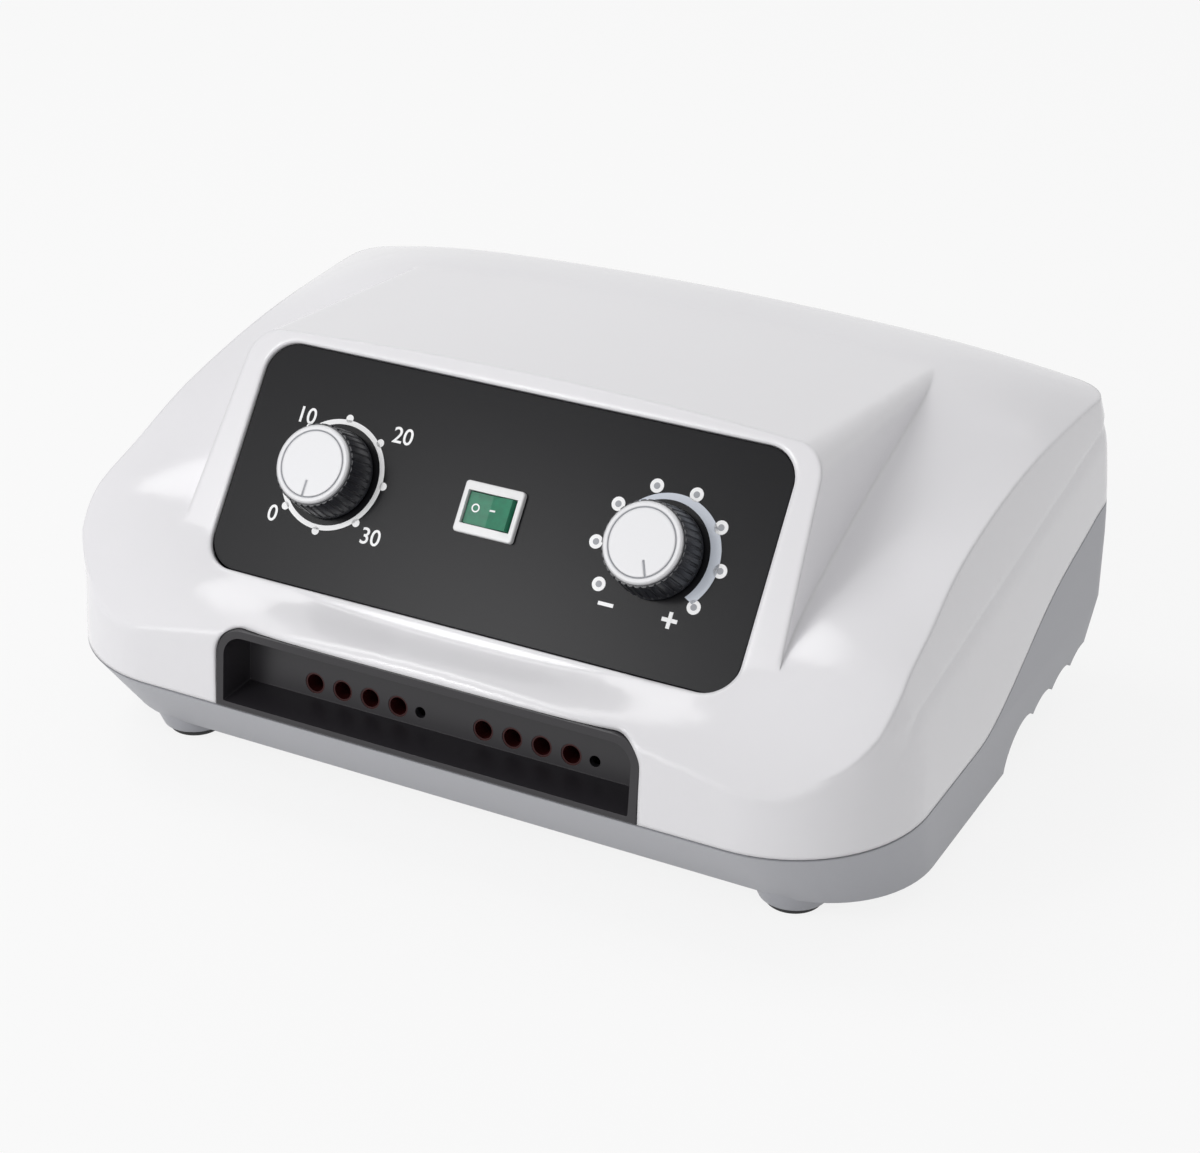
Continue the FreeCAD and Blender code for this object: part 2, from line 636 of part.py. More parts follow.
def cover_screws():
    """Four screws driven up through the base's posts."""
    seat = FLOOR_HEIGHT + SCREW_HEAD + 1
    made = []
    for x, y in column_places():
        head = rod(SCREW_HEAD_RADIUS, (x, y, seat - SCREW_HEAD), (x, y, seat))
        slot = box((SCREW_HEAD_RADIUS * 1.4, 0.8, 2), (x, y, seat - SCREW_HEAD))
        shank = rod(SCREW_RADIUS, (x, y, seat), (x, y, COLUMN_TOP + SCREW_REACH))
        made.append(join([head.cut(slot), shank]))
    return group(made)


# ================================================================ panel
def control_panel():
    """Thin printed plate with holes for the bushes and the switch."""
    sheet = slab(PANEL_WIDTH, PANEL_HEIGHT, PANEL_CORNER, -PANEL_THICKNESS, 0)
    sheet = sheet.makeFillet(0.4, [e for e in sheet.Edges if e.BoundBox.ZMin > -0.1])
    holes = [rod(BUSH_RADIUS + SCREW_FIT, (x, -DIAL_DROP, -5), (x, -DIAL_DROP, 5))
             for x in (-DIAL_X, DIAL_X)]
    holes.append(box((SWITCH_BODY_WIDTH + 2 * PANEL_GAP, SWITCH_BODY_HEIGHT + 2 * PANEL_GAP, 10),
                     (0, -DIAL_DROP, 0)))
    return on_panel(sheet.cut(group(holes)))


def shaft_bar(z0, z1):
    """Round shaft with a D flat at its outer end."""
    bar = rod(SHAFT_RADIUS, (0, 0, z0), (0, 0, z1))
    flat = box((20, 20, 20), (0, SHAFT_FLAT + 10, z1 - NUT_CLEAR + 10))
    return bar.cut(flat)


def knob(x, pointer):
    """Fluted knob with a hollow underside and a D bored hub."""
    z0, z1 = KNOB_LIFT, KNOB_LIFT + KNOB_HEIGHT - CAP_THICKNESS
    top = KNOB_RADIUS - KNOB_TAPER
    hub, hollow = SHAFT_RADIUS + 3.2, KNOB_RADIUS - 2.6
    body = turned([(0, z0), (KNOB_RADIUS, z0), (KNOB_RADIUS, z0 + 1.4), (top, z1), (0, z1)])
    well = turned([(0, z0 - 1), (hollow, z0 - 1), (hollow, z1 - KNOB_ROOF), (hub, z1 - KNOB_ROOF),
                   (hub, z0 + KNOB_RECESS), (0, z0 + KNOB_RECESS)])
    flutes = []
    for k in range(KNOB_FLUTES):
        a = 2 * math.pi * k / KNOB_FLUTES
        low = V(math.cos(a), math.sin(a), 0) * (KNOB_RADIUS + 0.1)
        high = V(math.cos(a), math.sin(a), 0) * (top + 0.1)
        flutes.append(rod(FLUTE_RADIUS, (low.x, low.y, z0 + 1.4), (high.x, high.y, z1 + 0.2)))
    bore = rod(SHAFT_RADIUS + SCREW_FIT, (0, 0, z0), (0, 0, z1 - 2))
    bore = bore.cut(box((20, 20, 20), (0, SHAFT_FLAT + SCREW_FIT + 10, 10)))
    body = body.cut(well).cut(group(flutes)).cut(bore)
    return on_panel(body, x, -DIAL_DROP, pointer - 270)


def knob_cap(x, pointer):
    """Disc on the knob's end with a ring groove and a pointer groove."""
    z0 = KNOB_LIFT + KNOB_HEIGHT - CAP_THICKNESS
    z1 = z0 + CAP_THICKNESS
    r = CAP_RADIUS
    disc = turned([(0, z0), (r, z0), (r, z1 - 0.5), (r - 0.5, z1), (0, z1)])
    ring = turned([(r - 2.2, z1 - 0.3), (r - 1.8, z1 - 0.3), (r - 1.8, z1 + 1), (r - 2.2, z1 + 1)])
    line = box((0.6, r * 0.42, 1), (0, -r * 0.64, z1 + 0.2))
    return on_panel(disc.cut(group([ring, line])), x, -DIAL_DROP, pointer - 270)


def timer_body():
    """Spring timer's round case with its bush and a mounting lug each side."""
    z1 = -PANEL_THICKNESS - WALL
    case = rod(TIMER_RADIUS, (0, 0, z1 - TIMER_LENGTH), (0, 0, z1))
    rim = rod(TIMER_RADIUS + 1.2, (0, 0, z1 - 7), (0, 0, z1 - 5))
    bush = rod(BUSH_RADIUS, (0, 0, z1), (0, 0, BUSH_PROUD))
    tabs = [box((1.0, 5.0, 7.0), (dx, 0, z1 - TIMER_LENGTH - 3.5)) for dx in (-8, 8)]
    hole = rod(SHAFT_RADIUS + RUNNING_CLEARANCE, (0, 0, z1 - 18), (0, 0, 10))
    return on_panel(join([case, rim, bush] + tabs).cut(hole), -DIAL_X, -DIAL_DROP)


def pressure_valve():
    """Regulator body with its bush and a hose nipple at the back."""
    z1 = -PANEL_THICKNESS - WALL
    z0 = z1 - VALVE_LENGTH
    case = turned([(0, z0), (VALVE_RADIUS - 3, z0), (VALVE_RADIUS - 3, z0 + 8), (VALVE_RADIUS, z0 + 11),
                   (VALVE_RADIUS, z1 - 3), (VALVE_RADIUS + 3, z1 - 3), (VALVE_RADIUS + 3, z1), (0, z1)])
    bush = rod(BUSH_RADIUS, (0, 0, z1), (0, 0, BUSH_PROUD))
    nipple = rod(NIPPLE_RADIUS, (0, 0, z0 - NIPPLE_LENGTH), (0, 0, z0))
    hole = rod(SHAFT_RADIUS + RUNNING_CLEARANCE, (0, 0, z1 - 18), (0, 0, 10))
    way = rod(NIPPLE_BORE, (0, 0, z0 - 20), (0, 0, z0 + 6))
    return on_panel(join([case, bush, nipple]).cut(group([hole, way])), DIAL_X, -DIAL_DROP)


def dial_shaft(x, pointer):
    """Shaft that turns in the bush and carries the knob."""
    z0 = -PANEL_THICKNESS - WALL - 17
    return on_panel(shaft_bar(z0, KNOB_LIFT + KNOB_HEIGHT - CAP_THICKNESS - 3), x, -DIAL_DROP, pointer - 270)


def dial_nuts():
    """Hexagon nuts that hold the two bushes to the panel."""
    made = []
    for x in (-DIAL_X, DIAL_X):
        turns = [math.radians(60 * k) for k in range(6)]
        ring = [(NUT_RADIUS * math.cos(a), NUT_RADIUS * math.sin(a), 0) for a in turns]
        nut = plate(ring, (0, 0, NUT_THICKNESS)).cut(rod(BUSH_RADIUS + SCREW_FIT, (0, 0, -1), (0, 0, 9)))
        made.append(on_panel(nut, x, -DIAL_DROP))
    return group(made)


# ================================================================ switch
def rocker_profile(grow):
    """Side outline of the rocker about its pivot, in the XZ plane."""
    reach = ROCKER_WIDTH / 2 + grow
    rise = ROCKER_CROWN + grow
    lean = math.tan(math.radians(ROCKER_TILT))
    top = math.asin((rise + reach * lean) / reach * 0.98)
    low = -math.asin((ROCKER_DROP + grow) / reach)
    arc = [V(reach * math.cos(a), 0, reach * math.sin(a)) for a in (low, 0, top)]
    mirror = [V(-p.x, 0, p.z) for p in reversed(arc)]
    edges = [Part.Arc(*arc).toShape(), Part.makeLine(arc[2], V(0, 0, rise)),
             Part.makeLine(V(0, 0, rise), mirror[0]), Part.Arc(*mirror).toShape(),
             Part.makeLine(mirror[2], arc[0])]
    return Part.Wire(edges)


def rocker():
    """Lit rocker with its pivot pins, pressed down on the off side."""
    body = Part.Face(rocker_profile(0)).extrude(V(0, ROCKER_HEIGHT, 0))
    body.translate(V(0, -ROCKER_HEIGHT / 2, 0))
    pin = rod(ROCKER_PIN, (0, -SWITCH_BODY_HEIGHT / 2 + 0.2, 0), (0, SWITCH_BODY_HEIGHT / 2 - 0.2, 0))
    shape = join([body, pin])
    shape.rotate(V(0, 0, 0), V(0, 1, 0), -ROCKER_TILT)
    shape.translate(V(0, 0, ROCKER_PIVOT))
    return on_panel(shape, 0, -DIAL_DROP)


def switch_housing():
    """Rocker switch frame: proud bezel, box behind it and three blades."""
    flange = slab(SWITCH_WIDTH, SWITCH_HEIGHT, 1.2, 0, SWITCH_FLANGE)
    flange = flange.makeFillet(0.5, [e for e in flange.Edges if e.BoundBox.ZMin > SWITCH_FLANGE - 0.1])
    case = box((SWITCH_BODY_WIDTH, SWITCH_BODY_HEIGHT, SWITCH_BODY_DEPTH), (0, 0, -SWITCH_BODY_DEPTH / 2))
    well = box((ROCKER_WIDTH + 2 * ROCKER_GAP, ROCKER_HEIGHT + 2 * ROCKER_GAP, 20),
               (0, 0, 10 - SWITCH_WELL))
    pin = rod(ROCKER_PIN + RUNNING_CLEARANCE, (0, -SWITCH_BODY_HEIGHT / 2, ROCKER_PIVOT),
              (0, SWITCH_BODY_HEIGHT / 2, ROCKER_PIVOT))
    blades = [box((0.8, 4.8, 8.0), (dx, 0, -SWITCH_BODY_DEPTH - 4)) for dx in (-6, 0, 6)]
    shape = join([flange, case] + blades).cut(group([well, pin]))
    return on_panel(shape, 0, -DIAL_DROP)


# ================================================================ hose ports
def port_bezel():
    """Recessed bezel: rim, sloping floor and the wall with the port holes."""
    outer = slab(BEZEL_WIDTH, 2 * BEZEL_HEIGHT, BEZEL_CORNER, -BEZEL_DEPTH - BEZEL_WALL, BEZEL_PROUD)
    outer = outer.cut(box((BIG, BIG, BIG), (0, -BIG / 2, 0)))
    outer = outer.makeFillet(0.5, [e for e in outer.Edges if e.BoundBox.ZMin > BEZEL_PROUD - 0.1])
    mouth_w, mouth_h = BEZEL_WIDTH - 2 * BEZEL_RIM, BEZEL_HEIGHT - BEZEL_RIM - BEZEL_SILL
    radius = BEZEL_CORNER - BEZEL_RIM
    mouth = rounded(mouth_w, mouth_h, radius, BEZEL_PROUD + 1, 0.6)
    mouth.translate(V(0, BEZEL_SILL + mouth_h / 2, 0))
    deep = rounded(mouth_w - 3, mouth_h - BEZEL_SLOPE - 1, radius - 1, -BEZEL_DEPTH, 0.6)
    deep.translate(V(0, BEZEL_SILL + BEZEL_SLOPE + (mouth_h - BEZEL_SLOPE - 1) / 2, 0))
    cuts = [Part.makeLoft([mouth, deep], True, True)]
    z0, z1 = -BEZEL_DEPTH - BEZEL_WALL - 1, -BEZEL_DEPTH + 1
    holes = [(PORT_RADIUS + SEAL_WALL + SEAL_FIT, x) for x in PORT_XS]
    holes += [(KEY_RADIUS, x) for x in key_places()]
    cuts += [rod(radius, (x, PORT_HEIGHT, z0), (x, PORT_HEIGHT, z1)) for radius, x in holes]
    return on_face(outer.cut(group(cuts)))


def key_places():
    """Middles of the two small locating holes."""
    return [PORT_XS[PORT_COUNT - 1] + KEY_OFFSET, PORT_XS[-1] + KEY_OFFSET]


def hose_socket(xs):
    """Block behind the bezel with plug bores, seals' seats and nipples."""
    z1 = -BEZEL_DEPTH - BEZEL_WALL
    z0 = z1 - SOCKET_DEPTH
    width = xs[-1] - xs[0] + 2 * SOCKET_MARGIN
    middle = (xs[0] + xs[-1]) / 2
    block = box((width, SOCKET_HEIGHT, SOCKET_DEPTH), (middle, PORT_HEIGHT, (z0 + z1) / 2))
    block = block.makeFillet(1.5, [e for e in block.Edges if abs(e.BoundBox.ZLength - SOCKET_DEPTH) < 0.1])
    nipples = [rod(NIPPLE_RADIUS, (x, PORT_HEIGHT, z0 - NIPPLE_LENGTH), (x, PORT_HEIGHT, z0)) for x in xs]
    seats = [rod(PORT_RADIUS + SEAL_WALL + SEAL_FIT, (x, PORT_HEIGHT, -BEZEL_DEPTH - PORT_DEPTH),
                 (x, PORT_HEIGHT, 0)) for x in xs]
    ways = [rod(NIPPLE_BORE, (x, PORT_HEIGHT, z0 - 10), (x, PORT_HEIGHT, z1)) for x in xs]
    return on_face(join([block] + nipples).cut(group(seats + ways)))


def port_seals(xs):
    """Red sleeves that line the plug bores."""
    made = []
    for x in xs:
        sleeve = rod(PORT_RADIUS + SEAL_WALL, (x, PORT_HEIGHT, -BEZEL_DEPTH - PORT_DEPTH),
                     (x, PORT_HEIGHT, -BEZEL_DEPTH - 0.2))
        bore = rod(PORT_RADIUS, (x, PORT_HEIGHT, -BEZEL_DEPTH - PORT_DEPTH - 1), (x, PORT_HEIGHT, 0))
        made.append(on_face(sleeve.cut(bore)))
    return group(made)


def port_hoses(xs):
    """Short hoses from the socket block to the manifold."""
    z0 = -BEZEL_DEPTH - BEZEL_WALL - SOCKET_DEPTH - 0.2
    made = []
    for x in xs:
        ends = ((x, PORT_HEIGHT, z0), (x, PORT_HEIGHT, 0.2 - MANIFOLD_SETBACK))
        hose = rod(NIPPLE_RADIUS + HOSE_FIT + HOSE_WALL, *ends).cut(rod(NIPPLE_RADIUS + HOSE_FIT, *ends))
        made.append(on_face(hose))
    return group(made)


# ================================================================ manifold
def manifold_axis():
    """Height and depth of the spool's axis in the front face's frame."""
    return PORT_HEIGHT, -MANIFOLD_SETBACK - MANIFOLD_SIZE[2] / 2


def air_manifold():
    """Long block whose spool feeds the eight ports in turn."""
    length, tall, deep = MANIFOLD_SIZE
    y, z = manifold_axis()
    front, rear = -MANIFOLD_SETBACK, -MANIFOLD_SETBACK - deep
    solids = [box(MANIFOLD_SIZE, (MANIFOLD_X, y, z))]
    solids += [rod(NIPPLE_RADIUS, (x, y, front), (x, y, front + NIPPLE_LENGTH)) for x in PORT_XS]
    solids.append(rod(NIPPLE_RADIUS, (SUPPLY_X, y, rear), (SUPPLY_X, y, rear - NIPPLE_LENGTH)))
    top = y + tall / 2
    solids.append(rod(NIPPLE_RADIUS, (CONTROL_X, top, z), (CONTROL_X, top + NIPPLE_LENGTH, z)))
    cuts = [rod(SPOOL_RADIUS + RUNNING_CLEARANCE, (MANIFOLD_X - length / 2 + SPOOL_MARGIN, y, z),
                (MANIFOLD_X + length, y, z))]
    cuts += [rod(NIPPLE_BORE, (x, y, z), (x, y, front + 10)) for x in PORT_XS]
    cuts.append(rod(NIPPLE_BORE, (SUPPLY_X, y, rear - 10), (SUPPLY_X, y, z)))
    cuts.append(rod(NIPPLE_BORE, (CONTROL_X, y, z), (CONTROL_X, top + 10, z)))
    block = on_face(join(solids).cut(group(cuts)))
    legs = []
    for x in (MANIFOLD_X - length / 2 + LEG_SIZE[0] / 2, MANIFOLD_X + length / 2 - LEG_SIZE[0] / 2):
        middle = block.BoundBox.Center.y
        size = (LEG_SIZE[0], LEG_SIZE[1], block.BoundBox.ZMin + 2 - FLOOR_HEIGHT - WALL)
        legs.append(box(size, (x, middle, FLOOR_HEIGHT + WALL + size[2] / 2)))
    return join([block] + legs)


def manifold_spool():
    """Turning spool with a timing groove at each port and a coupling end."""
    length = MANIFOLD_SIZE[0]
    y, z = manifold_axis()
    start = MANIFOLD_X - length / 2 + SPOOL_MARGIN + 0.3
    end = MANIFOLD_X + length / 2
    bar = rod(SPOOL_RADIUS, (start, y, z), (end, y, z))
    neck = rod(MOTOR_SHAFT, (end, y, z), (end + 8, y, z))
    notches = []
    for k, x in enumerate(PORT_XS):
        ring = rod(SPOOL_RADIUS + 1, (x - 1.8, y, z), (x + 1.8, y, z))
        ring = ring.cut(rod(SPOOL_RADIUS - SPOOL_GROOVE, (x - 2, y, z), (x + 2, y, z)))
        half = box((4, 20, 20), (x, y, z + 10))
        half.rotate(V(x, y, z), V(1, 0, 0), 45 * k)
        notches.append(ring.common(half))
    return on_face(join([bar.cut(group(notches)), neck]))


def spool_motor():
    """Small geared motor on the end of the manifold."""
    y, z = manifold_axis()
    start = MANIFOLD_X + MANIFOLD_SIZE[0] / 2
    case = rod(MOTOR_RADIUS, (start, y, z), (start + MOTOR_LENGTH, y, z))
    tail = rod(MOTOR_RADIUS - 4, (start + MOTOR_LENGTH, y, z), (start + MOTOR_LENGTH + 3, y, z))
    hole = rod(MOTOR_SHAFT + RUNNING_CLEARANCE, (start - 1, y, z), (start + 9, y, z))
    return on_face(join([case, tail]).cut(hole))


def point_on_face(x, y, z):
    """World place of a point given in the front face's frame."""
    spot = on_face(Part.Vertex(x, y, z)).Point
    return (spot.x, spot.y, spot.z)


def point_on_panel(x, s, z):
    """World place of a point given in the panel's frame."""
    spot = on_panel(Part.Vertex(0, 0, z), x, s).Point
    return (spot.x, spot.y, spot.z)


def hose(points):
    """Hose along a route, bored to fit the nipples at its ends."""
    inside = NIPPLE_RADIUS + HOSE_FIT
    return tube(points, inside + HOSE_WALL, HOSE_BEND).cut(tube(points, inside, HOSE_BEND))


def supply_hose():
    """From the pump's right head to the back of the manifold."""
    y, z = manifold_axis()
    rear = -MANIFOLD_SETBACK - MANIFOLD_SIZE[2]
    first = (SUPPLY_X, at(DEPTH - PUMP_BACK) - HEAD_RADIUS - 0.2, HEAD_Z + SUPPLY_RISE)
    last = point_on_face(SUPPLY_X, y, rear - 0.2)
    turn = point_on_face(SUPPLY_X, y, rear - 19)
    return hose([first, (SUPPLY_X, turn[1], first[2]), turn, last])


def control_hose():
    """From the pressure valve down to the top of the manifold."""
    y, z = manifold_axis()
    top = y + MANIFOLD_SIZE[1] / 2
    back = -PANEL_THICKNESS - WALL - VALVE_LENGTH
    first = point_on_panel(DIAL_X, -DIAL_DROP, back - 0.2)
    turn = point_on_panel(DIAL_X, -DIAL_DROP, back - 20)
    return hose([first, turn, point_on_face(CONTROL_X, top + 22, z), point_on_face(CONTROL_X, top + 0.2, z)])


# ================================================================ pump
def pump_place(dx, dy=0.0, dz=0.0):
    """Point relative to the pump's middle."""
    return (PUMP_X + dx, at(DEPTH - PUMP_BACK) + dy, HEAD_Z + dz)


def mount_places():
    """Middles of the pump's rubber mounts."""
    w, d = MOUNT_SPREAD[0] / 2, MOUNT_SPREAD[1] / 2
    return [(PUMP_X + i * w, at(DEPTH - PUMP_BACK) + j * d) for i in (-1, 1) for j in (-1, 1)]


def pump_plate():
    """Steel plate that carries the pump on its rubber mounts."""
    z = PLATE_HEIGHT + PLATE_SIZE[2] / 2
    sheet = box(PLATE_SIZE, (PUMP_X, at(DEPTH - PUMP_BACK), z))
    sheet = sheet.makeFillet(5, [e for e in sheet.Edges if abs(e.BoundBox.ZLength - PLATE_SIZE[2]) < 0.01])
    holes = [rod(SCREW_RADIUS + SCREW_FIT, (x, y, 0), (x, y, 40)) for x, y in mount_places()]
    return sheet.cut(group(holes))


def pump_mounts():
    """Waisted rubber mounts between the floor and the plate."""
    low, high = FLOOR_HEIGHT + WALL, PLATE_HEIGHT
    third = (high - low) / 3
    made = []
    for x, y in mount_places():
        body = turned([(0, low), (MOUNT_RADIUS, low), (MOUNT_RADIUS, low + third),
                       (MOUNT_WAIST, low + 1.5 * third), (MOUNT_RADIUS, high - third),
                       (MOUNT_RADIUS, high), (0, high)])
        body = body.cut(rod(SCREW_RADIUS + SCREW_FIT, (0, 0, low + 1.8), (0, 0, high + 1)))
        body.translate(V(x, y, 0))
        made.append(body)
    return group(made)


def pump_screws():
    """Screws from the plate into the rubber mounts."""
    seat = PLATE_HEIGHT + PLATE_SIZE[2]
    made = []
    for x, y in mount_places():
        head = rod(SCREW_HEAD_RADIUS, (x, y, seat), (x, y, seat + SCREW_HEAD))
        made.append(join([head, rod(SCREW_RADIUS, (x, y, FLOOR_HEIGHT + WALL + 2), (x, y, seat))]))
    return group(made)


def pump_core():
    """Laminated block with the tunnel for the armature."""
    tall = 2 * HEAD_RADIUS
    block = box((CORE_SIZE[0], CORE_SIZE[1], tall), pump_place(0))
    gap = 2 * ARMATURE_GAP
    tunnel = box((BIG, ARMATURE_SIZE[1] + gap, ARMATURE_SIZE[2] + gap), pump_place(0))
    return block.cut(tunnel)


def pump_coils():
    """Wound coils on the core's front and back."""
    made = []
    for side in (-1, 1):
        y = side * (CORE_SIZE[1] + COIL_SIZE[1]) / 2
        coil = box(COIL_SIZE, (0, 0, 0))
        coil = coil.makeFillet(6, [e for e in coil.Edges if abs(e.BoundBox.YLength - COIL_SIZE[1]) < 0.01])
        window = box((COIL_SIZE[0] - 2 * COIL_WALL, 30, COIL_SIZE[2] - 2 * COIL_WALL), (0, 0, 0))
        coil = coil.cut(window)
        coil.translate(V(*pump_place(0, y)))
        made.append(coil)
    return group(made)


def pump_armature():
    """Magnet bar with a rod at each end, free to shuttle along X."""
    bar = box(ARMATURE_SIZE, pump_place(0))
    reach = HEAD_SPAN / 2 + DIAPHRAGM_THICKNESS + 3
    return join([bar, rod(ARMATURE_ROD, pump_place(-reach), pump_place(reach))])


def pump_diaphragm(side):
    """Rubber diaphragm clamped behind the head."""
    first, last = side * (HEAD_SPAN / 2 - DIAPHRAGM_THICKNESS), side * HEAD_SPAN / 2
    disc = rod(DIAPHRAGM_RADIUS, pump_place(first), pump_place(last))
    return disc.cut(rod(ARMATURE_ROD + 0.3, pump_place(first - side), pump_place(last + side)))


def pump_head(side):
    """Cup with the pumping chamber, a foot, fins and the hose nipple."""
    start = side * HEAD_SPAN / 2
    end = start + side * HEAD_LENGTH
    cup = rod(HEAD_RADIUS, pump_place(start), pump_place(end))
    pad = box((HEAD_LENGTH, HEAD_RADIUS * 1.3, 12), pump_place((start + end) / 2, 0, 6 - HEAD_RADIUS))
    x = SUPPLY_X - PUMP_X if side > 0 else -(SUPPLY_X - PUMP_X)
    nipple = rod(NIPPLE_RADIUS, pump_place(x, -HEAD_RADIUS - NIPPLE_LENGTH, SUPPLY_RISE),
                 pump_place(x, -HEAD_RADIUS + 8, SUPPLY_RISE))
    land = rod(NIPPLE_RADIUS + 2.5, pump_place(x, -HEAD_RADIUS, SUPPLY_RISE), pump_place(x, -10, SUPPLY_RISE))
    chamber = rod(HEAD_CAVITY, pump_place(start - side), pump_place(end - side * 5))
    way = rod(NIPPLE_BORE, pump_place(x, -HEAD_RADIUS - 10, SUPPLY_RISE), pump_place(x, 0, SUPPLY_RISE))
    arm = box((2 * DIAPHRAGM_THICKNESS, HEAD_RADIUS * 1.3, 6),
              pump_place(start - side * DIAPHRAGM_THICKNESS, 0, 3 - HEAD_RADIUS))
    fins = []
    for k in range(4):
        a = math.radians(45 + 90 * k)
        y, z = (HEAD_RADIUS - 4) * math.cos(a), (HEAD_RADIUS - 4) * math.sin(a)
        fins.append(rod(2.2, pump_place(end, y, z), pump_place(end + side * 2, y, z)))
    shape = join([cup, pad, nipple, land] + fins)
    return shape.cut(group([chamber, way, arm]))


# ================================================================ back
def power_inlet():
    """Mains inlet with its flange and socket."""
    back = at(DEPTH)
    fw, fh, ft = INLET_FLANGE
    bw, bh, bd = INLET_BODY
    cw, ch, cd = INLET_CAVITY
    flange = box((fw, ft, fh), (INLET_X, back + ft / 2, INLET_HEIGHT))
    flange = flange.makeFillet(2, [e for e in flange.Edges if abs(e.BoundBox.YLength - ft) < 0.01])
    body = box((bw, bd, bh), (INLET_X, back - bd / 2, INLET_HEIGHT))
    cavity = box((cw, cd, ch), (INLET_X, back + ft - cd / 2, INLET_HEIGHT))
    along = [e for e in cavity.Edges if abs(e.BoundBox.YLength - cd) < 0.01]
    upper = [e for e in along if e.BoundBox.ZMin > INLET_HEIGHT]
    cavity = cavity.makeChamfer(4, upper)
    slots = [box((PIN_SIZE[1] + 0.04, 60, PIN_SIZE[0] + 0.04), (x, back, z)) for x, z in pin_places()]
    return join([flange, body]).cut(cavity).cut(group(slots))


def pin_places():
    """Middles of the inlet's three pins."""
    return [(INLET_X - PIN_PITCH, INLET_HEIGHT - 2), (INLET_X + PIN_PITCH, INLET_HEIGHT - 2),
            (INLET_X, INLET_HEIGHT + 2)]


def inlet_pins():
    """Three flat pins that run through to solder tails."""
    front = at(DEPTH) - INLET_CAVITY[2] + INLET_FLANGE[2] + PIN_SIZE[2]
    rear = at(DEPTH) - INLET_BODY[2] - PIN_TAIL
    return group([box((PIN_SIZE[1], front - rear, PIN_SIZE[0]), (x, (front + rear) / 2, z))
                  for x, z in pin_places()])


def fuse_holder():
    """Round fuse holder with a slotted cap."""
    back = at(DEPTH)
    place = (FUSE_X, INLET_HEIGHT)
    body = rod(FUSE_RADIUS, (place[0], back - FUSE_LENGTH, place[1]), (place[0], back, place[1]))
    flange = rod(FUSE_FLANGE, (place[0], back, place[1]), (place[0], back + 2.0, place[1]))
    grip = rod(FUSE_RADIUS - 1, (place[0], back, place[1]), (place[0], back + 2.5, place[1]))
    slot = box((1.2, 2, FUSE_RADIUS * 1.4), (place[0], back + 3, place[1]))
    return join([body, flange, grip]).cut(slot)


def terminal_block():
    """Screw terminals on the floor."""
    x, y = TERMINAL_PLACE[0], at(DEPTH - TERMINAL_PLACE[1])
    floor = FLOOR_HEIGHT + WALL
    w, d, h = TERMINAL_SIZE
    block = box(TERMINAL_SIZE, (x, y, floor + h / 2))
    step = w / TERMINAL_COUNT
    cuts = []
    for k in range(TERMINAL_COUNT):
        cx = x - w / 2 + step * (k + 0.5)
        cuts.append(rod(2.4, (cx, y, floor + h - 4), (cx, y, floor + h + 1)))
        cuts.append(rod(1.6, (cx, y - d, floor + 4.5), (cx, y + d, floor + 4.5)))
    return block.cut(group(cuts))


def air_filter():
    """Intake filter pot with ribs round its lid."""
    x, y = FILTER_PLACE[0], at(DEPTH - FILTER_PLACE[1])
    floor = FLOOR_HEIGHT + WALL
    top = floor + FILTER_LENGTH
    pot = rod(FILTER_RADIUS - 1.5, (x, y, floor), (x, y, top - 8))
    lid = rod(FILTER_RADIUS, (x, y, top - 8), (x, y, top))
    slots = []
    for k in range(8):
        bar = box((3, 1.6, 5), (x + FILTER_RADIUS, y, top - 4))
        bar.rotate(V(x, y, 0), V(0, 0, 1), 45 * k)
        slots.append(bar)
    way = rod(FILTER_RADIUS - 5, (x, y, top - 10), (x, y, top + 1))
    return join([pot, lid]).cut(group(slots + [way]))


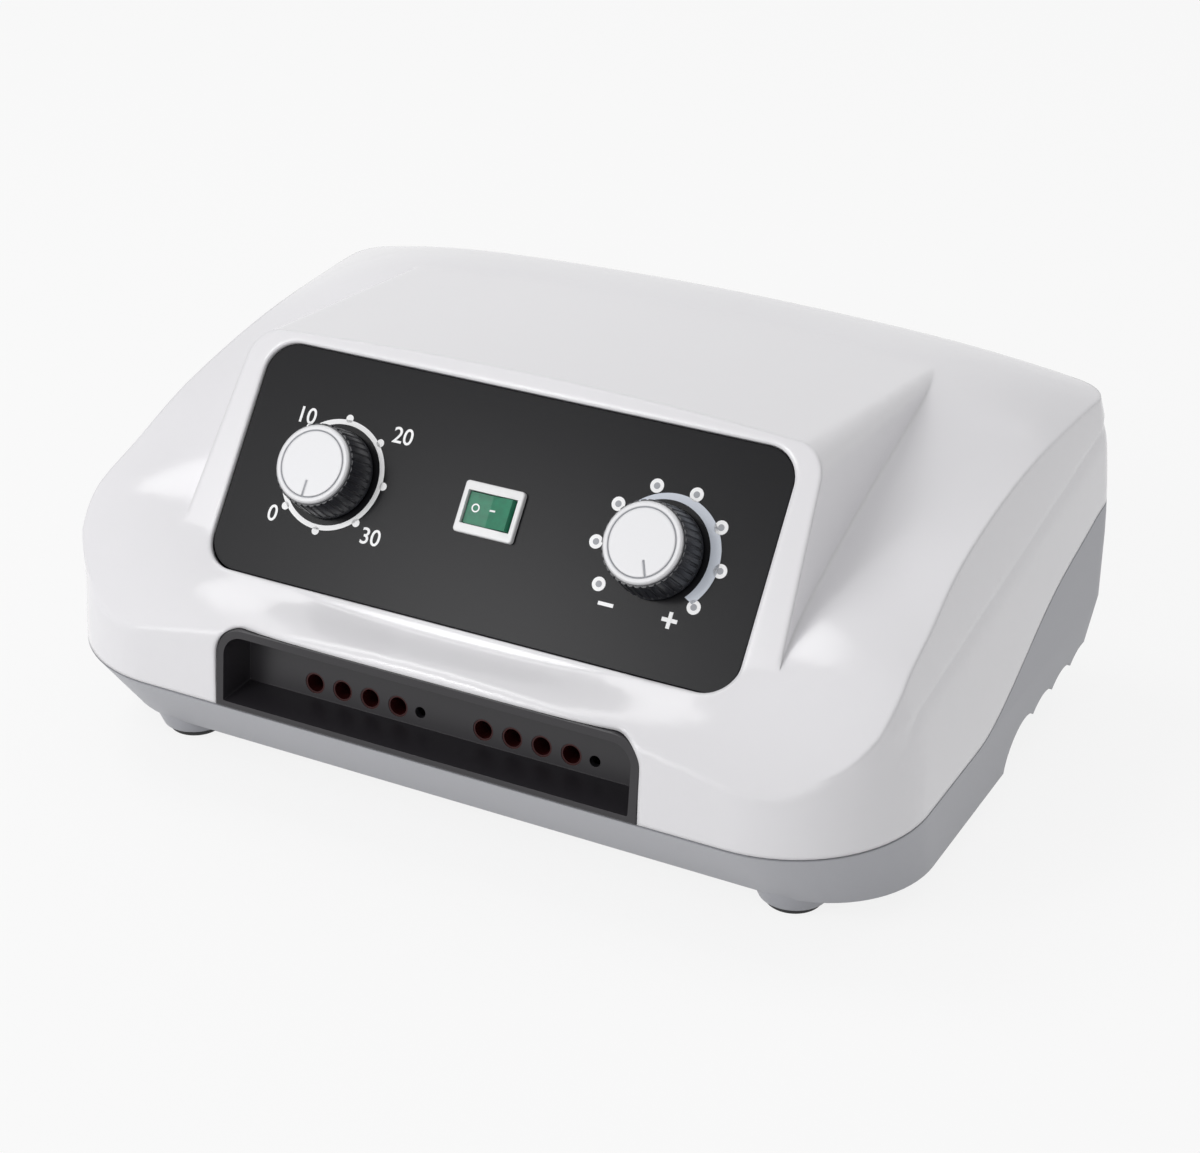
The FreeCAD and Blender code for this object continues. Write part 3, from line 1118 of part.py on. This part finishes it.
# ================================================================ assembly
def build():
    """Every named piece, in one shared frame."""
    outer = upper_form(0, PANEL_SUNK, LIP_RADIUS)
    inner = upper_form(WALL, -PANEL_THICKNESS - WALL, 0)
    left, right = PORT_XS[:PORT_COUNT], PORT_XS[PORT_COUNT:]
    nodes = {
        "top_cover": top_cover(outer, inner),
        "base_tray": base_tray(outer, inner),
        "control_panel": control_panel(),
        "port_bezel": port_bezel(),
        "hose_socket_left": hose_socket(left),
        "hose_socket_right": hose_socket(right),
        "port_seals_left": port_seals(left),
        "port_seals_right": port_seals(right),
        "port_hoses_left": port_hoses(left),
        "port_hoses_right": port_hoses(right),
        "time_knob": knob(-DIAL_X, TIMER_REST_ANGLE),
        "time_knob_cap": knob_cap(-DIAL_X, TIMER_REST_ANGLE),
        "time_shaft": dial_shaft(-DIAL_X, TIMER_REST_ANGLE),
        "timer_body": timer_body(),
        "pressure_knob": knob(DIAL_X, PRESSURE_REST_ANGLE),
        "pressure_knob_cap": knob_cap(DIAL_X, PRESSURE_REST_ANGLE),
        "pressure_shaft": dial_shaft(DIAL_X, PRESSURE_REST_ANGLE),
        "pressure_valve": pressure_valve(),
        "dial_nuts": dial_nuts(),
        "switch_housing": switch_housing(),
        "rocker": rocker(),
        "air_manifold": air_manifold(),
        "manifold_spool": manifold_spool(),
        "spool_motor": spool_motor(),
        "supply_hose": supply_hose(),
        "control_hose": control_hose(),
        "pump_plate": pump_plate(),
        "pump_mounts": pump_mounts(),
        "pump_screws": pump_screws(),
        "pump_core": pump_core(),
        "pump_coils": pump_coils(),
        "pump_armature": pump_armature(),
        "pump_diaphragm_left": pump_diaphragm(-1),
        "pump_diaphragm_right": pump_diaphragm(1),
        "pump_head_left": pump_head(-1),
        "pump_head_right": pump_head(1),
        "power_inlet": power_inlet(),
        "inlet_pins": inlet_pins(),
        "fuse_holder": fuse_holder(),
        "terminal_block": terminal_block(),
        "air_filter": air_filter(),
        "cover_screws": cover_screws(),
    }
    names = ("foot_front_left", "foot_front_right", "foot_rear_left", "foot_rear_right")
    for name, (x, y) in zip(names, foot_places()):
        nodes[name] = foot(x, y)
    return nodes


os.makedirs("parts", exist_ok=True)
for name, shape in build().items():
    shape.exportStep("parts/" + name + ".step")
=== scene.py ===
import json
import math

import bpy
from mathutils import Matrix, Vector
from mathutils.bvhtree import BVHTree


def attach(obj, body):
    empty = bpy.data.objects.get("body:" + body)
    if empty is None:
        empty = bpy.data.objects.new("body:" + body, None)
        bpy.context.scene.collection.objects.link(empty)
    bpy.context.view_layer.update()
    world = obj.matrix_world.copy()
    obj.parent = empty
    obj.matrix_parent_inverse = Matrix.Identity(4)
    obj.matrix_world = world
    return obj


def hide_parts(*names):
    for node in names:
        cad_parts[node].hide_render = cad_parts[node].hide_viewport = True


# ---------------------------------------------------------------- sizes, in metres
MM = 0.001
WELD = 0.001 * MM                     # corners closer than this are one corner

PANEL_TILT = math.radians(52.4)       # of the control panel, from level
DIAL_X = 59.2 * MM                    # from the panel's middle line to each knob's middle
DIAL_DROP = 0.8 * MM                  # from the panel's middle down to the knobs' middles

CREASE = math.radians(13)             # edges sharper than this stay crisp
COVER_CREASE = math.radians(18)       # on the cover, whose tight rounds have fewer facets

INK = 0.05 * MM                       # thickness of the printed marks
INK_GAP = 0.01 * MM                   # under a mark that is laid on a raised piece
ABOVE_ALL = 40 * MM                   # a height over the panel that clears the knobs
DOT_SIDES = 24
CIRCLE_SIDES = 144

TIME_RING = (18.7 * MM, 17.0 * MM)    # radii of the outer and the inner circle
TIME_BUMPS_AT = 19.2 * MM             # from the knob's middle
TIME_BUMP = 1.35 * MM                 # radius of one bump
TIME_BUMP_ANGLES = range(0, 360, 45)
NUMBER_SIZE = 7.6 * MM
NUMBER_OUTSET = 0.08 * MM             # a medium weight
NUMBER_SPOTS = {"10": (-75.2, 16.1), "20": (-38.3, 16.4),
                "0": (-76.6, -17.9), "30": (-39.0, -17.9)}      # in millimetres

PRESSURE_BAND = (19.2 * MM, 16.9 * MM)
PRESSURE_SHIFT = 1.3 * MM             # of the outer circle, to the right of the inner one
PRESSURE_GAP = (190, 312)             # degrees with no band, from minus to plus
PRESSURE_DOTS_AT = 21.3 * MM
PRESSURE_DOT = 2.3 * MM               # radius of one dot
PRESSURE_DOT_CENTRE = 1.05 * MM
PRESSURE_DOT_COUNT = 8
PRESSURE_DOT_STEP = 37.2              # degrees

SIGN_LENGTH = 5.3 * MM                # of the minus and the plus
MINUS_STROKE = 1.2 * MM
PLUS_STROKE = 1.3 * MM
MINUS_X = 47.1 * MM
PLUS_X = 69.0 * MM
SIGN_Y = -20.2 * MM

CAP_RING = 11.0 * MM                  # middle of the ring groove in a knob's cap
CAP_GROOVE = 0.4 * MM                 # width of that groove
POINTER_LENGTH = 5.46 * MM
POINTER_WIDTH = 0.6 * MM
POINTER_MIDDLE = 8.32 * MM            # from the knob's middle
TIME_POINTS = math.radians(270)       # where each pointer stands at rest
PRESSURE_POINTS = math.radians(293)

OFF_RING = (1.45 * MM, 0.95 * MM)     # of the rocker's O
OFF_X = -5.3 * MM
OFF_RISE = 0.2 * MM                   # above the knobs' middles
ON_DASH = (2.3 * MM, 0.6 * MM)        # length and width
ON_X = 0.9 * MM
ON_RISE = 0.4 * MM

# ---------------------------------------------------------------- stage, in metres
CAMERA_OFFSET = Vector((0.3721, -0.6346, 0.4708))   # from the panel's middle line, on the floor
AIM_OFFSET = Vector((0.0387, 0.0, 0.0896))          # from the same point
LENS = 78.0                           # millimetres, on a sensor this wide:
SENSOR = 36.0

FLOOR_SIDE = 8.0
FLOOR_GLOW = 0.97                     # a paper white that is just short of 1
GLOW_SHARE = 0.88                     # the rest is lit paper, which keeps the shadow
ROOM_LIGHT = 0.51                     # of the white room on the object; its background is 1

LAMP_AIM = Vector((0, 0, 0.07))
LAMPS = {                             # place, side of the square and power in watts
    "key": ((-0.68, -1.17, 1.03), 0.26, 2.3),
    "top": ((-0.77, 0.1, 1.55), 0.7, 5.2),
    "rim": ((0.55, 0.8, 1.4), 0.9, 1.5),
    "fill": ((-0.85, -1.5, 0.75), 1.1, 7.9),
}

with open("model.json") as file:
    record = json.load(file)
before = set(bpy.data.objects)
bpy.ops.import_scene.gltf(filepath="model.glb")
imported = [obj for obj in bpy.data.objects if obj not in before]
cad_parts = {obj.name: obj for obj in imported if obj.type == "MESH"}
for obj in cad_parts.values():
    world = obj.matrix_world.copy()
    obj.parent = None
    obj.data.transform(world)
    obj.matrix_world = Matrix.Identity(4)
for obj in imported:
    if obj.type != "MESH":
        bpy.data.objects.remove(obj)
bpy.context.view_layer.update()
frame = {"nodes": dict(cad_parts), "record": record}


def panel_place():
    """Matrix that carries a point on the panel's face, with +Z outwards, to the frame."""
    out = Vector((0, -math.sin(PANEL_TILT), math.cos(PANEL_TILT)))
    up = Vector((0, math.cos(PANEL_TILT), math.sin(PANEL_TILT)))
    points = [v.co for v in frame["nodes"]["control_panel"].data.vertices]
    rises = [p.dot(up) for p in points]
    middle = out * max(p.dot(out) for p in points) + up * (min(rises) + max(rises)) / 2
    return Matrix.Translation(middle) @ Matrix.Rotation(PANEL_TILT, 4, "X")


PANEL = panel_place()


# ================================================================ materials
def colour(code):
    """Linear colour of an sRGB hex value."""
    parts = [int(code[k:k + 2], 16) / 255 for k in (1, 3, 5)]
    return [c / 12.92 if c <= 0.04045 else ((c + 0.055) / 1.055) ** 2.4 for c in parts] + [1.0]


def add(material, kind, inputs=None, **settings):
    """Adds a node with its settings, and sets or links its inputs."""
    tree = material.node_tree
    new = tree.nodes.new(kind)
    for name, value in settings.items():
        setattr(new, name, value)
    for name, value in (inputs or {}).items():
        if isinstance(value, bpy.types.NodeSocket):
            tree.links.new(value, new.inputs[name])
        else:
            new.inputs[name].default_value = value
    return new


def surface(name, base, roughness, grain_mm, depth_mm, metallic=0.0, ior=1.5, mottle=0.06,
            edge_mm=0.15):
    """Principled surface with a fine grain: its relief and a slight mottle of the colour."""
    made = bpy.data.materials.new(name)
    made.use_nodes = True
    body = made.node_tree.nodes["Principled BSDF"]
    place = add(made, "ShaderNodeTexCoord").outputs["Object"]
    grain = add(made, "ShaderNodeTexNoise", {"Vector": place, "Scale": 1 / (grain_mm * MM),
                                             "Detail": 3.0}).outputs["Fac"]
    light = colour(base)
    dark = [c * (1 - mottle) for c in light[:3]] + [1.0]
    tone = add(made, "ShaderNodeMix", {0: grain, 6: dark, 7: light}, data_type="RGBA")
    # moulded and turned edges are never quite sharp: a small round catches the light
    edge = add(made, "ShaderNodeBevel", {"Radius": edge_mm * MM}, samples=8)
    relief = add(made, "ShaderNodeBump", {"Height": grain, "Distance": depth_mm * MM,
                                          "Strength": 1.0, "Normal": edge.outputs["Normal"]})
    made.node_tree.links.new(tone.outputs[2], body.inputs["Base Color"])
    made.node_tree.links.new(relief.outputs["Normal"], body.inputs["Normal"])
    body.inputs["Roughness"].default_value = roughness
    body.inputs["Metallic"].default_value = metallic
    if not metallic:
        body.inputs["IOR"].default_value = ior
    return made


# The grain of each surface is as wide as on the real one. Where the real grain is finer than
# about half a millimetre, it is drawn about that coarse, because a finer one wouldn't show.
LOOKS = {
    # moulded in a polished tool: clear highlights, with the slow ripple of a large wall
    "gloss white ABS": dict(base="#EAE9EC", roughness=0.17, grain_mm=9.0, depth_mm=0.004,
                            ior=1.53, mottle=0.01, edge_mm=2.4),
    # the same plastic from an etched tool: a fine satin grain that spreads the light
    "satin grey ABS": dict(base="#A9AAB0", roughness=0.42, grain_mm=0.6, depth_mm=0.010,
                           ior=1.53, edge_mm=1.0),
    # screen-printed sheet with a velvet face: near black, with a soft sheen
    "velvet polycarbonate": dict(base="#131316", roughness=0.27, grain_mm=0.7, depth_mm=0.006,
                                 ior=1.24),
    # lightly etched moulding: the recess round the ports stays dark and soft
    "satin black ABS": dict(base="#28262A", roughness=0.33, grain_mm=0.8, depth_mm=0.008,
                            ior=1.53),
    # smooth moulding: thin highlights along the ribs of the knobs
    "gloss black ABS": dict(base="#292A2F", roughness=0.30, grain_mm=1.5, depth_mm=0.004,
                            ior=1.53),
    # sprayed on plastic, half metal flake and half pale pigment: bright and even
    "silver lacquer": dict(base="#D2D2D4", roughness=0.50, grain_mm=0.5, depth_mm=0.004,
                           metallic=0.4, mottle=0.02, edge_mm=0.8),
    # smooth moulding of the switch's frame: bright, with small highlights
    "white nylon": dict(base="#E2E2E3", roughness=0.25, grain_mm=3.0, depth_mm=0.004,
                        ior=1.53, mottle=0.01),
    # dyed clear polycarbonate over a ribbed light chamber: deep green in uneven patches
    "green lens": dict(base="#04825E", roughness=0.44, grain_mm=2.2, depth_mm=0.010,
                       ior=1.58, mottle=0.55),
    # moulded lip of each port: dark red and slightly waxy
    "red silicone": dict(base="#3E1414", roughness=0.35, grain_mm=1.0, depth_mm=0.010,
                         ior=1.41, mottle=0.2),
    # extruded tube: milky, with a soft sheen
    "clear silicone": dict(base="#C9CBC8", roughness=0.40, grain_mm=2.0, depth_mm=0.006,
                           ior=1.41),
    # moulded feet and mounts: dull, with a fine bloom
    "black rubber": dict(base="#1B1B1C", roughness=0.62, grain_mm=0.7, depth_mm=0.015,
                         ior=1.52),
    # undyed mouldings: a warm off-white
    "natural nylon": dict(base="#D8D6CC", roughness=0.38, grain_mm=1.5, depth_mm=0.008,
                          ior=1.53),
    # bright plating with a faint cloud
    "zinc-plated steel": dict(base="#B9BBBE", roughness=0.32, grain_mm=1.2, depth_mm=0.006,
                              metallic=1.0),
    # stacked and varnished sheet: dark and uneven
    "transformer steel": dict(base="#56585C", roughness=0.48, grain_mm=0.5, depth_mm=0.012,
                              metallic=1.0, mottle=0.2),
    # wound wire under clear enamel: reddish, with the relief of its turns
    "enamelled copper": dict(base="#9A4A26", roughness=0.30, grain_mm=0.4, depth_mm=0.030,
                             metallic=1.0, mottle=0.25),
    # as cast: a matt skin that is slightly rough
    "die-cast aluminium": dict(base="#B7B9BB", roughness=0.42, grain_mm=1.0, depth_mm=0.020,
                               metallic=1.0, mottle=0.1),
    # moulded: a dull black
    "black nylon": dict(base="#222224", roughness=0.40, grain_mm=1.0, depth_mm=0.008, ior=1.53),
    # turned: smooth and bright yellow
    "brass": dict(base="#C9A452", roughness=0.28, grain_mm=1.0, depth_mm=0.005, metallic=1.0),
    # opaque screen-printing inks, a little duller than the sheet that they lie on
    "white ink": dict(base="#FCFCFD", roughness=0.30, grain_mm=0.6, depth_mm=0.003, mottle=0.02),
    "pale blue ink": dict(base="#D3D9E4", roughness=0.35, grain_mm=0.6, depth_mm=0.003,
                          mottle=0.04),
    # the grey prints the pressure dots' centres, and is also painted shade laid in the grooves
    # of the knobs' caps
    "grey ink and groove shade": dict(base="#A6A8AE", roughness=0.50, grain_mm=0.6, depth_mm=0.003, mottle=0.04),
}
MATERIALS = {name: surface(name, **look) for name, look in LOOKS.items()}

FINISHES = {
    "gloss white ABS": ["top_cover"],
    "satin grey ABS": ["base_tray"],
    "velvet polycarbonate": ["control_panel"],
    "satin black ABS": ["port_bezel", "hose_socket_left", "hose_socket_right"],
    "gloss black ABS": ["time_knob", "pressure_knob"],
    "silver lacquer": ["time_knob_cap", "pressure_knob_cap"],
    "white nylon": ["switch_housing"],
    "green lens": ["rocker"],
    "red silicone": ["port_seals_left", "port_seals_right"],
    "clear silicone": ["port_hoses_left", "port_hoses_right", "supply_hose", "control_hose"],
    "black rubber": ["foot_front_left", "foot_front_right", "foot_rear_left", "foot_rear_right",
                     "pump_mounts", "pump_diaphragm_left", "pump_diaphragm_right"],
    "natural nylon": ["timer_body", "air_manifold", "terminal_block", "air_filter"],
    "zinc-plated steel": ["time_shaft", "pressure_shaft", "dial_nuts", "spool_motor",
                          "pump_plate", "pump_screws", "cover_screws"],
    "transformer steel": ["pump_core", "pump_armature"],
    "enamelled copper": ["pump_coils"],
    "die-cast aluminium": ["pump_head_left", "pump_head_right"],
    "black nylon": ["power_inlet", "fuse_holder"],
    "brass": ["pressure_valve", "manifold_spool", "inlet_pins"],
}

BODIES = frame["record"]["behaviour"]["bodies"]
BODY_OF = {node: body for body, nodes in BODIES.items() for node in nodes}


# ================================================================ tools
def alone(piece):
    """Selects only this piece."""
    if bpy.context.object and bpy.context.object.mode != "OBJECT":
        bpy.ops.object.mode_set(mode="OBJECT")
    bpy.ops.object.select_all(action="DESELECT")
    piece.select_set(True)
    bpy.context.view_layer.objects.active = piece


def finish(piece, name, material, body, place=None):
    """Names a piece, bakes its place into its mesh, paints it and hangs it on its body."""
    alone(piece)
    bpy.ops.object.transform_apply(location=True, rotation=True, scale=True)
    if place is not None:
        piece.data.transform(place)
    piece.name = name.replace(" ", "_")
    piece.data.name = piece.name
    piece.data.materials.clear()
    piece.data.materials.append(MATERIALS[material])
    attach(piece, body)


def printed(piece, name, ink):
    """Lays a flat mark on the panel and fixes it to the housing."""
    finish(piece, name, ink, "housing", PANEL)


def dress(node, material):
    """Smooth-shaded skin over a CAD node's own faces."""
    skin = bpy.data.objects.new(node + " skin", frame["nodes"][node].data.copy())
    bpy.context.scene.collection.objects.link(skin)
    alone(skin)
    bpy.ops.object.mode_set(mode="EDIT")
    bpy.ops.mesh.select_all(action="SELECT")
    bpy.ops.mesh.remove_doubles(threshold=WELD)
    bpy.ops.object.mode_set(mode="OBJECT")
    # the loose triangles bring normals of their own, which no longer fit once they are welded
    bpy.ops.mesh.customdata_custom_splitnormals_clear()
    crease = COVER_CREASE if node == "top_cover" else CREASE
    bpy.ops.object.shade_smooth_by_angle(angle=crease)
    even = skin.modifiers.new("even shading", "WEIGHTED_NORMAL")
    even.mode = "FACE_AREA_WITH_ANGLE"
    even.keep_sharp = True
    bpy.ops.object.modifier_apply(modifier=even.name)
    finish(skin, node + " skin", material, BODY_OF[node])
    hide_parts(node)


# ================================================================ printed marks, and painted shade in the caps' grooves
def disc(radius, x, y, z=0.0):
    """Flat printed dot on the panel."""
    bpy.ops.object.select_all(action="DESELECT")
    bpy.ops.mesh.primitive_cylinder_add(vertices=DOT_SIDES, radius=radius, depth=INK,
                                        location=(x, y, z + INK / 2))
    return bpy.context.object


def bar(width, height, x, y, z=0.0):
    """Flat printed bar on the panel."""
    bpy.ops.object.select_all(action="DESELECT")
    bpy.ops.mesh.primitive_cube_add(size=1, location=(x, y, z + INK / 2))
    made = bpy.context.object
    made.scale = (width, height, INK)
    return made


def open_up(made, gap):
    """Takes a stretch of angles, in degrees, out of a flat band."""
    mesh = made.data
    for vertex in mesh.vertices:
        angle = math.degrees(math.atan2(vertex.co.y, vertex.co.x)) % 360
        vertex.select = gap[0] < angle < gap[1]
    for edge in mesh.edges:
        edge.select = all(mesh.vertices[k].select for k in edge.vertices)
    for face in mesh.polygons:
        face.select = False
    bpy.ops.object.mode_set(mode="EDIT")
    bpy.ops.mesh.delete(type="VERT")
    bpy.ops.object.mode_set(mode="OBJECT")


def band(radii, x, y, shift=0.0, gap=None):
    """Printed band between two circles; the inner one may sit to the side of the outer one."""
    outer, inner = radii
    bpy.ops.object.select_all(action="DESELECT")
    bpy.ops.mesh.primitive_circle_add(vertices=CIRCLE_SIDES, radius=outer, fill_type="NOTHING",
                                      location=(0, 0, 0))
    made = bpy.context.object
    bpy.ops.object.mode_set(mode="EDIT")
    bpy.ops.mesh.select_all(action="SELECT")
    bpy.ops.mesh.extrude_edges_move()
    bpy.ops.transform.resize(value=(inner / outer, inner / outer, 1))
    bpy.ops.transform.translate(value=(shift, 0, 0))
    bpy.ops.object.mode_set(mode="OBJECT")
    if gap:
        open_up(made, gap)
    made.location = (x, y, 0)
    thick = made.modifiers.new("ink", "SOLIDIFY")
    thick.thickness = INK
    thick.offset = 1.0
    alone(made)
    bpy.ops.object.modifier_apply(modifier="ink")
    bpy.ops.object.mode_set(mode="EDIT")
    bpy.ops.mesh.select_all(action="SELECT")
    bpy.ops.mesh.normals_make_consistent(inside=False)
    bpy.ops.object.mode_set(mode="OBJECT")
    return made


def numeral(text, x, y):
    """Printed number, centred on a point of the panel."""
    bpy.ops.object.select_all(action="DESELECT")
    bpy.ops.object.text_add(location=(0, 0, 0))
    letters = bpy.context.object.data
    letters.body = text
    letters.size = NUMBER_SIZE
    letters.offset = NUMBER_OUTSET
    letters.align_x = "CENTER"
    letters.align_y = "CENTER"
    letters.extrude = INK / 2
    bpy.ops.object.convert(target="MESH")
    made = bpy.context.object
    made.data.transform(Matrix.Translation((x, y, INK / 2)))
    return made


def joined(pieces):
    """One object out of several."""
    bpy.ops.object.select_all(action="DESELECT")
    for piece in pieces:
        piece.select_set(True)
    bpy.context.view_layer.objects.active = pieces[0]
    bpy.ops.object.join()
    return bpy.context.object


def draped(piece, node):
    """Lays a flat mark, drawn on the panel's plane, on the face of a raised piece."""
    alone(piece)
    bpy.ops.object.transform_apply(location=True, rotation=True, scale=True)
    mesh = frame["nodes"][node].data
    carrier = BVHTree.FromPolygons([v.co for v in mesh.vertices],
                                   [f.vertices for f in mesh.polygons])
    out = PANEL.to_3x3() @ Vector((0, 0, 1))
    for vertex in piece.data.vertices:
        flat = PANEL @ Vector((vertex.co.x, vertex.co.y, 0))
        spot = carrier.ray_cast(flat + out * ABOVE_ALL, -out)[0]
        vertex.co = (spot or flat) + out * (vertex.co.z + INK_GAP)
    return piece


def round_the_dial(x, radius, angles, size, z=0.0):
    """Dots round a dial, at angles in degrees."""
    turns = [math.radians(a) for a in angles]
    return [disc(size, x + radius * math.cos(a), radius * math.sin(a) - DIAL_DROP, z)
            for a in turns]


def time_scale():
    """White ring with a bump for each five minutes, and the numbers."""
    ring = band(TIME_RING, -DIAL_X, -DIAL_DROP)
    bumps = round_the_dial(-DIAL_X, TIME_BUMPS_AT, TIME_BUMP_ANGLES, TIME_BUMP)
    printed(joined([ring] + bumps), "time scale ring", "white ink")
    for text, (x, y) in NUMBER_SPOTS.items():
        printed(numeral(text, x * MM, y * MM), "time number " + text, "white ink")


def pressure_scale():
    """Band that grows from minus to plus, dots along it and the two signs."""
    swell = band(PRESSURE_BAND, DIAL_X + PRESSURE_SHIFT, -DIAL_DROP, -PRESSURE_SHIFT,
                 PRESSURE_GAP)
    printed(swell, "pressure scale band", "pale blue ink")
    half = (PRESSURE_DOT_COUNT - 1) / 2
    angles = [90 + (half - k) * PRESSURE_DOT_STEP for k in range(PRESSURE_DOT_COUNT)]
    dots = round_the_dial(DIAL_X, PRESSURE_DOTS_AT, angles, PRESSURE_DOT)
    printed(joined(dots), "pressure scale dots", "white ink")
    centres = round_the_dial(DIAL_X, PRESSURE_DOTS_AT, angles, PRESSURE_DOT_CENTRE, INK)
    printed(joined(centres), "pressure scale dot centres", "grey ink and groove shade")
    minus = bar(SIGN_LENGTH, MINUS_STROKE, MINUS_X, SIGN_Y)
    printed(minus, "minus sign", "white ink")
    across = bar(SIGN_LENGTH, PLUS_STROKE, PLUS_X, SIGN_Y)
    upright = bar(PLUS_STROKE, SIGN_LENGTH, PLUS_X, SIGN_Y, INK / 2)
    printed(joined([across, upright]), "plus sign", "white ink")


def painted_cap_groove_shade(x, node, body, turn):
    """Painted shade in the ring groove and the pointer groove of a knob's cap: thin grey bands
    laid in them.
    """
    groove = (CAP_RING + CAP_GROOVE / 2, CAP_RING - CAP_GROOVE / 2)
    ring = band(groove, x, -DIAL_DROP)
    # painted shade: a thin grey band laid in the ring groove, darker where shade falls in it
    finish(draped(ring, node), node + " ring groove shade", "grey ink and groove shade", body)
    way = Vector((math.cos(turn), math.sin(turn)))
    spot = Vector((x, -DIAL_DROP)) + way * POINTER_MIDDLE
    line = bar(POINTER_LENGTH, POINTER_WIDTH, spot.x, spot.y)
    line.rotation_euler.z = turn
    # painted shade: a thin grey bar laid in the pointer groove
    finish(draped(line, node), node + " pointer groove shade", "grey ink and groove shade", body)


def rocker_signs():
    """White O at the rocker's left and a dash at its middle."""
    ring = band(OFF_RING, OFF_X, -DIAL_DROP + OFF_RISE)
    finish(draped(ring, "rocker"), "rocker off sign", "white ink", "rocker_key")
    dash = bar(*ON_DASH, ON_X, -DIAL_DROP + ON_RISE)
    finish(draped(dash, "rocker"), "rocker on sign", "white ink", "rocker_key")


# ================================================================ stage
def background_rays(material):
    """1 for the rays that show the background: straight, mirrored or through glass."""
    path = add(material, "ShaderNodeLightPath").outputs
    mirrored = add(material, "ShaderNodeMath", {0: path["Is Camera Ray"],
                                                1: path["Is Glossy Ray"]},
                   operation="MAXIMUM")
    through = add(material, "ShaderNodeMath", {0: mirrored.outputs[0],
                                               1: path["Is Transmission Ray"]},
                  operation="MAXIMUM")
    return through.outputs[0]


def stage():
    """Pale paper floor that keeps the object's shadow."""
    bpy.ops.object.select_all(action="DESELECT")
    bpy.ops.mesh.primitive_plane_add(size=FLOOR_SIDE, location=(0, 0, 0))
    floor = bpy.context.object
    floor.name = "floor"
    paper = surface("white paper", "#F4F4F4", 0.9, 40, 0.0, mottle=0.0)
    floor.data.materials.append(paper)
    lit = paper.node_tree.nodes["Principled BSDF"].outputs[0]
    glow = add(paper, "ShaderNodeEmission", {"Color": colour("#FFFFFF"),
                                             "Strength": FLOOR_GLOW}).outputs[0]
    shown = add(paper, "ShaderNodeMixShader", {0: GLOW_SHARE, 1: lit, 2: glow}).outputs[0]
    either = add(paper, "ShaderNodeMixShader", {0: background_rays(paper), 1: lit, 2: shown})
    output = paper.node_tree.nodes["Material Output"]
    paper.node_tree.links.new(either.outputs[0], output.inputs["Surface"])


def surround():
    """Even white room that lights the object less than it shows."""
    world = bpy.data.worlds.new("white room")
    bpy.context.scene.world = world
    world.use_nodes = True
    back = world.node_tree.nodes["Background"]
    back.inputs["Color"].default_value = colour("#FFFFFF")
    strength = add(world, "ShaderNodeMapRange", {"Value": background_rays(world),
                                                 "To Min": ROOM_LIGHT, "To Max": 1.0})
    world.node_tree.links.new(strength.outputs["Result"], back.inputs["Strength"])


def lamp(name, place, side, power):
    """Square soft box that looks at the object."""
    light = bpy.data.lights.new(name, "AREA")
    light.shape = "SQUARE"
    light.size = side
    light.energy = power
    made = bpy.data.objects.new(name, light)
    bpy.context.scene.collection.objects.link(made)
    made.location = place
    made.rotation_euler = (LAMP_AIM - Vector(place)).to_track_quat("-Z", "Y").to_euler()


def camera(middle):
    """Camera at the panel's right, a little above."""
    lens = bpy.data.cameras.new("camera")
    lens.lens = LENS
    lens.sensor_width = SENSOR
    made = bpy.data.objects.new("camera", lens)
    bpy.context.scene.collection.objects.link(made)
    made.location = middle + CAMERA_OFFSET
    made.rotation_euler = (AIM_OFFSET - CAMERA_OFFSET).to_track_quat("-Z", "Y").to_euler()
    bpy.context.scene.camera = made


for finish_name, nodes in FINISHES.items():
    for node in nodes:
        dress(node, finish_name)
time_scale()
pressure_scale()
# painted shade in the grooves of the knobs' caps
painted_cap_groove_shade(-DIAL_X, "time_knob_cap", "time_dial", TIME_POINTS)
painted_cap_groove_shade(DIAL_X, "pressure_knob_cap", "pressure_dial", PRESSURE_POINTS)
rocker_signs()

stage()
surround()
for lamp_name, (place, side, power) in LAMPS.items():
    lamp(lamp_name, place, side, power)
camera(Vector((0, PANEL.translation.y, 0)))
bpy.context.scene.view_settings.view_transform = "Standard"
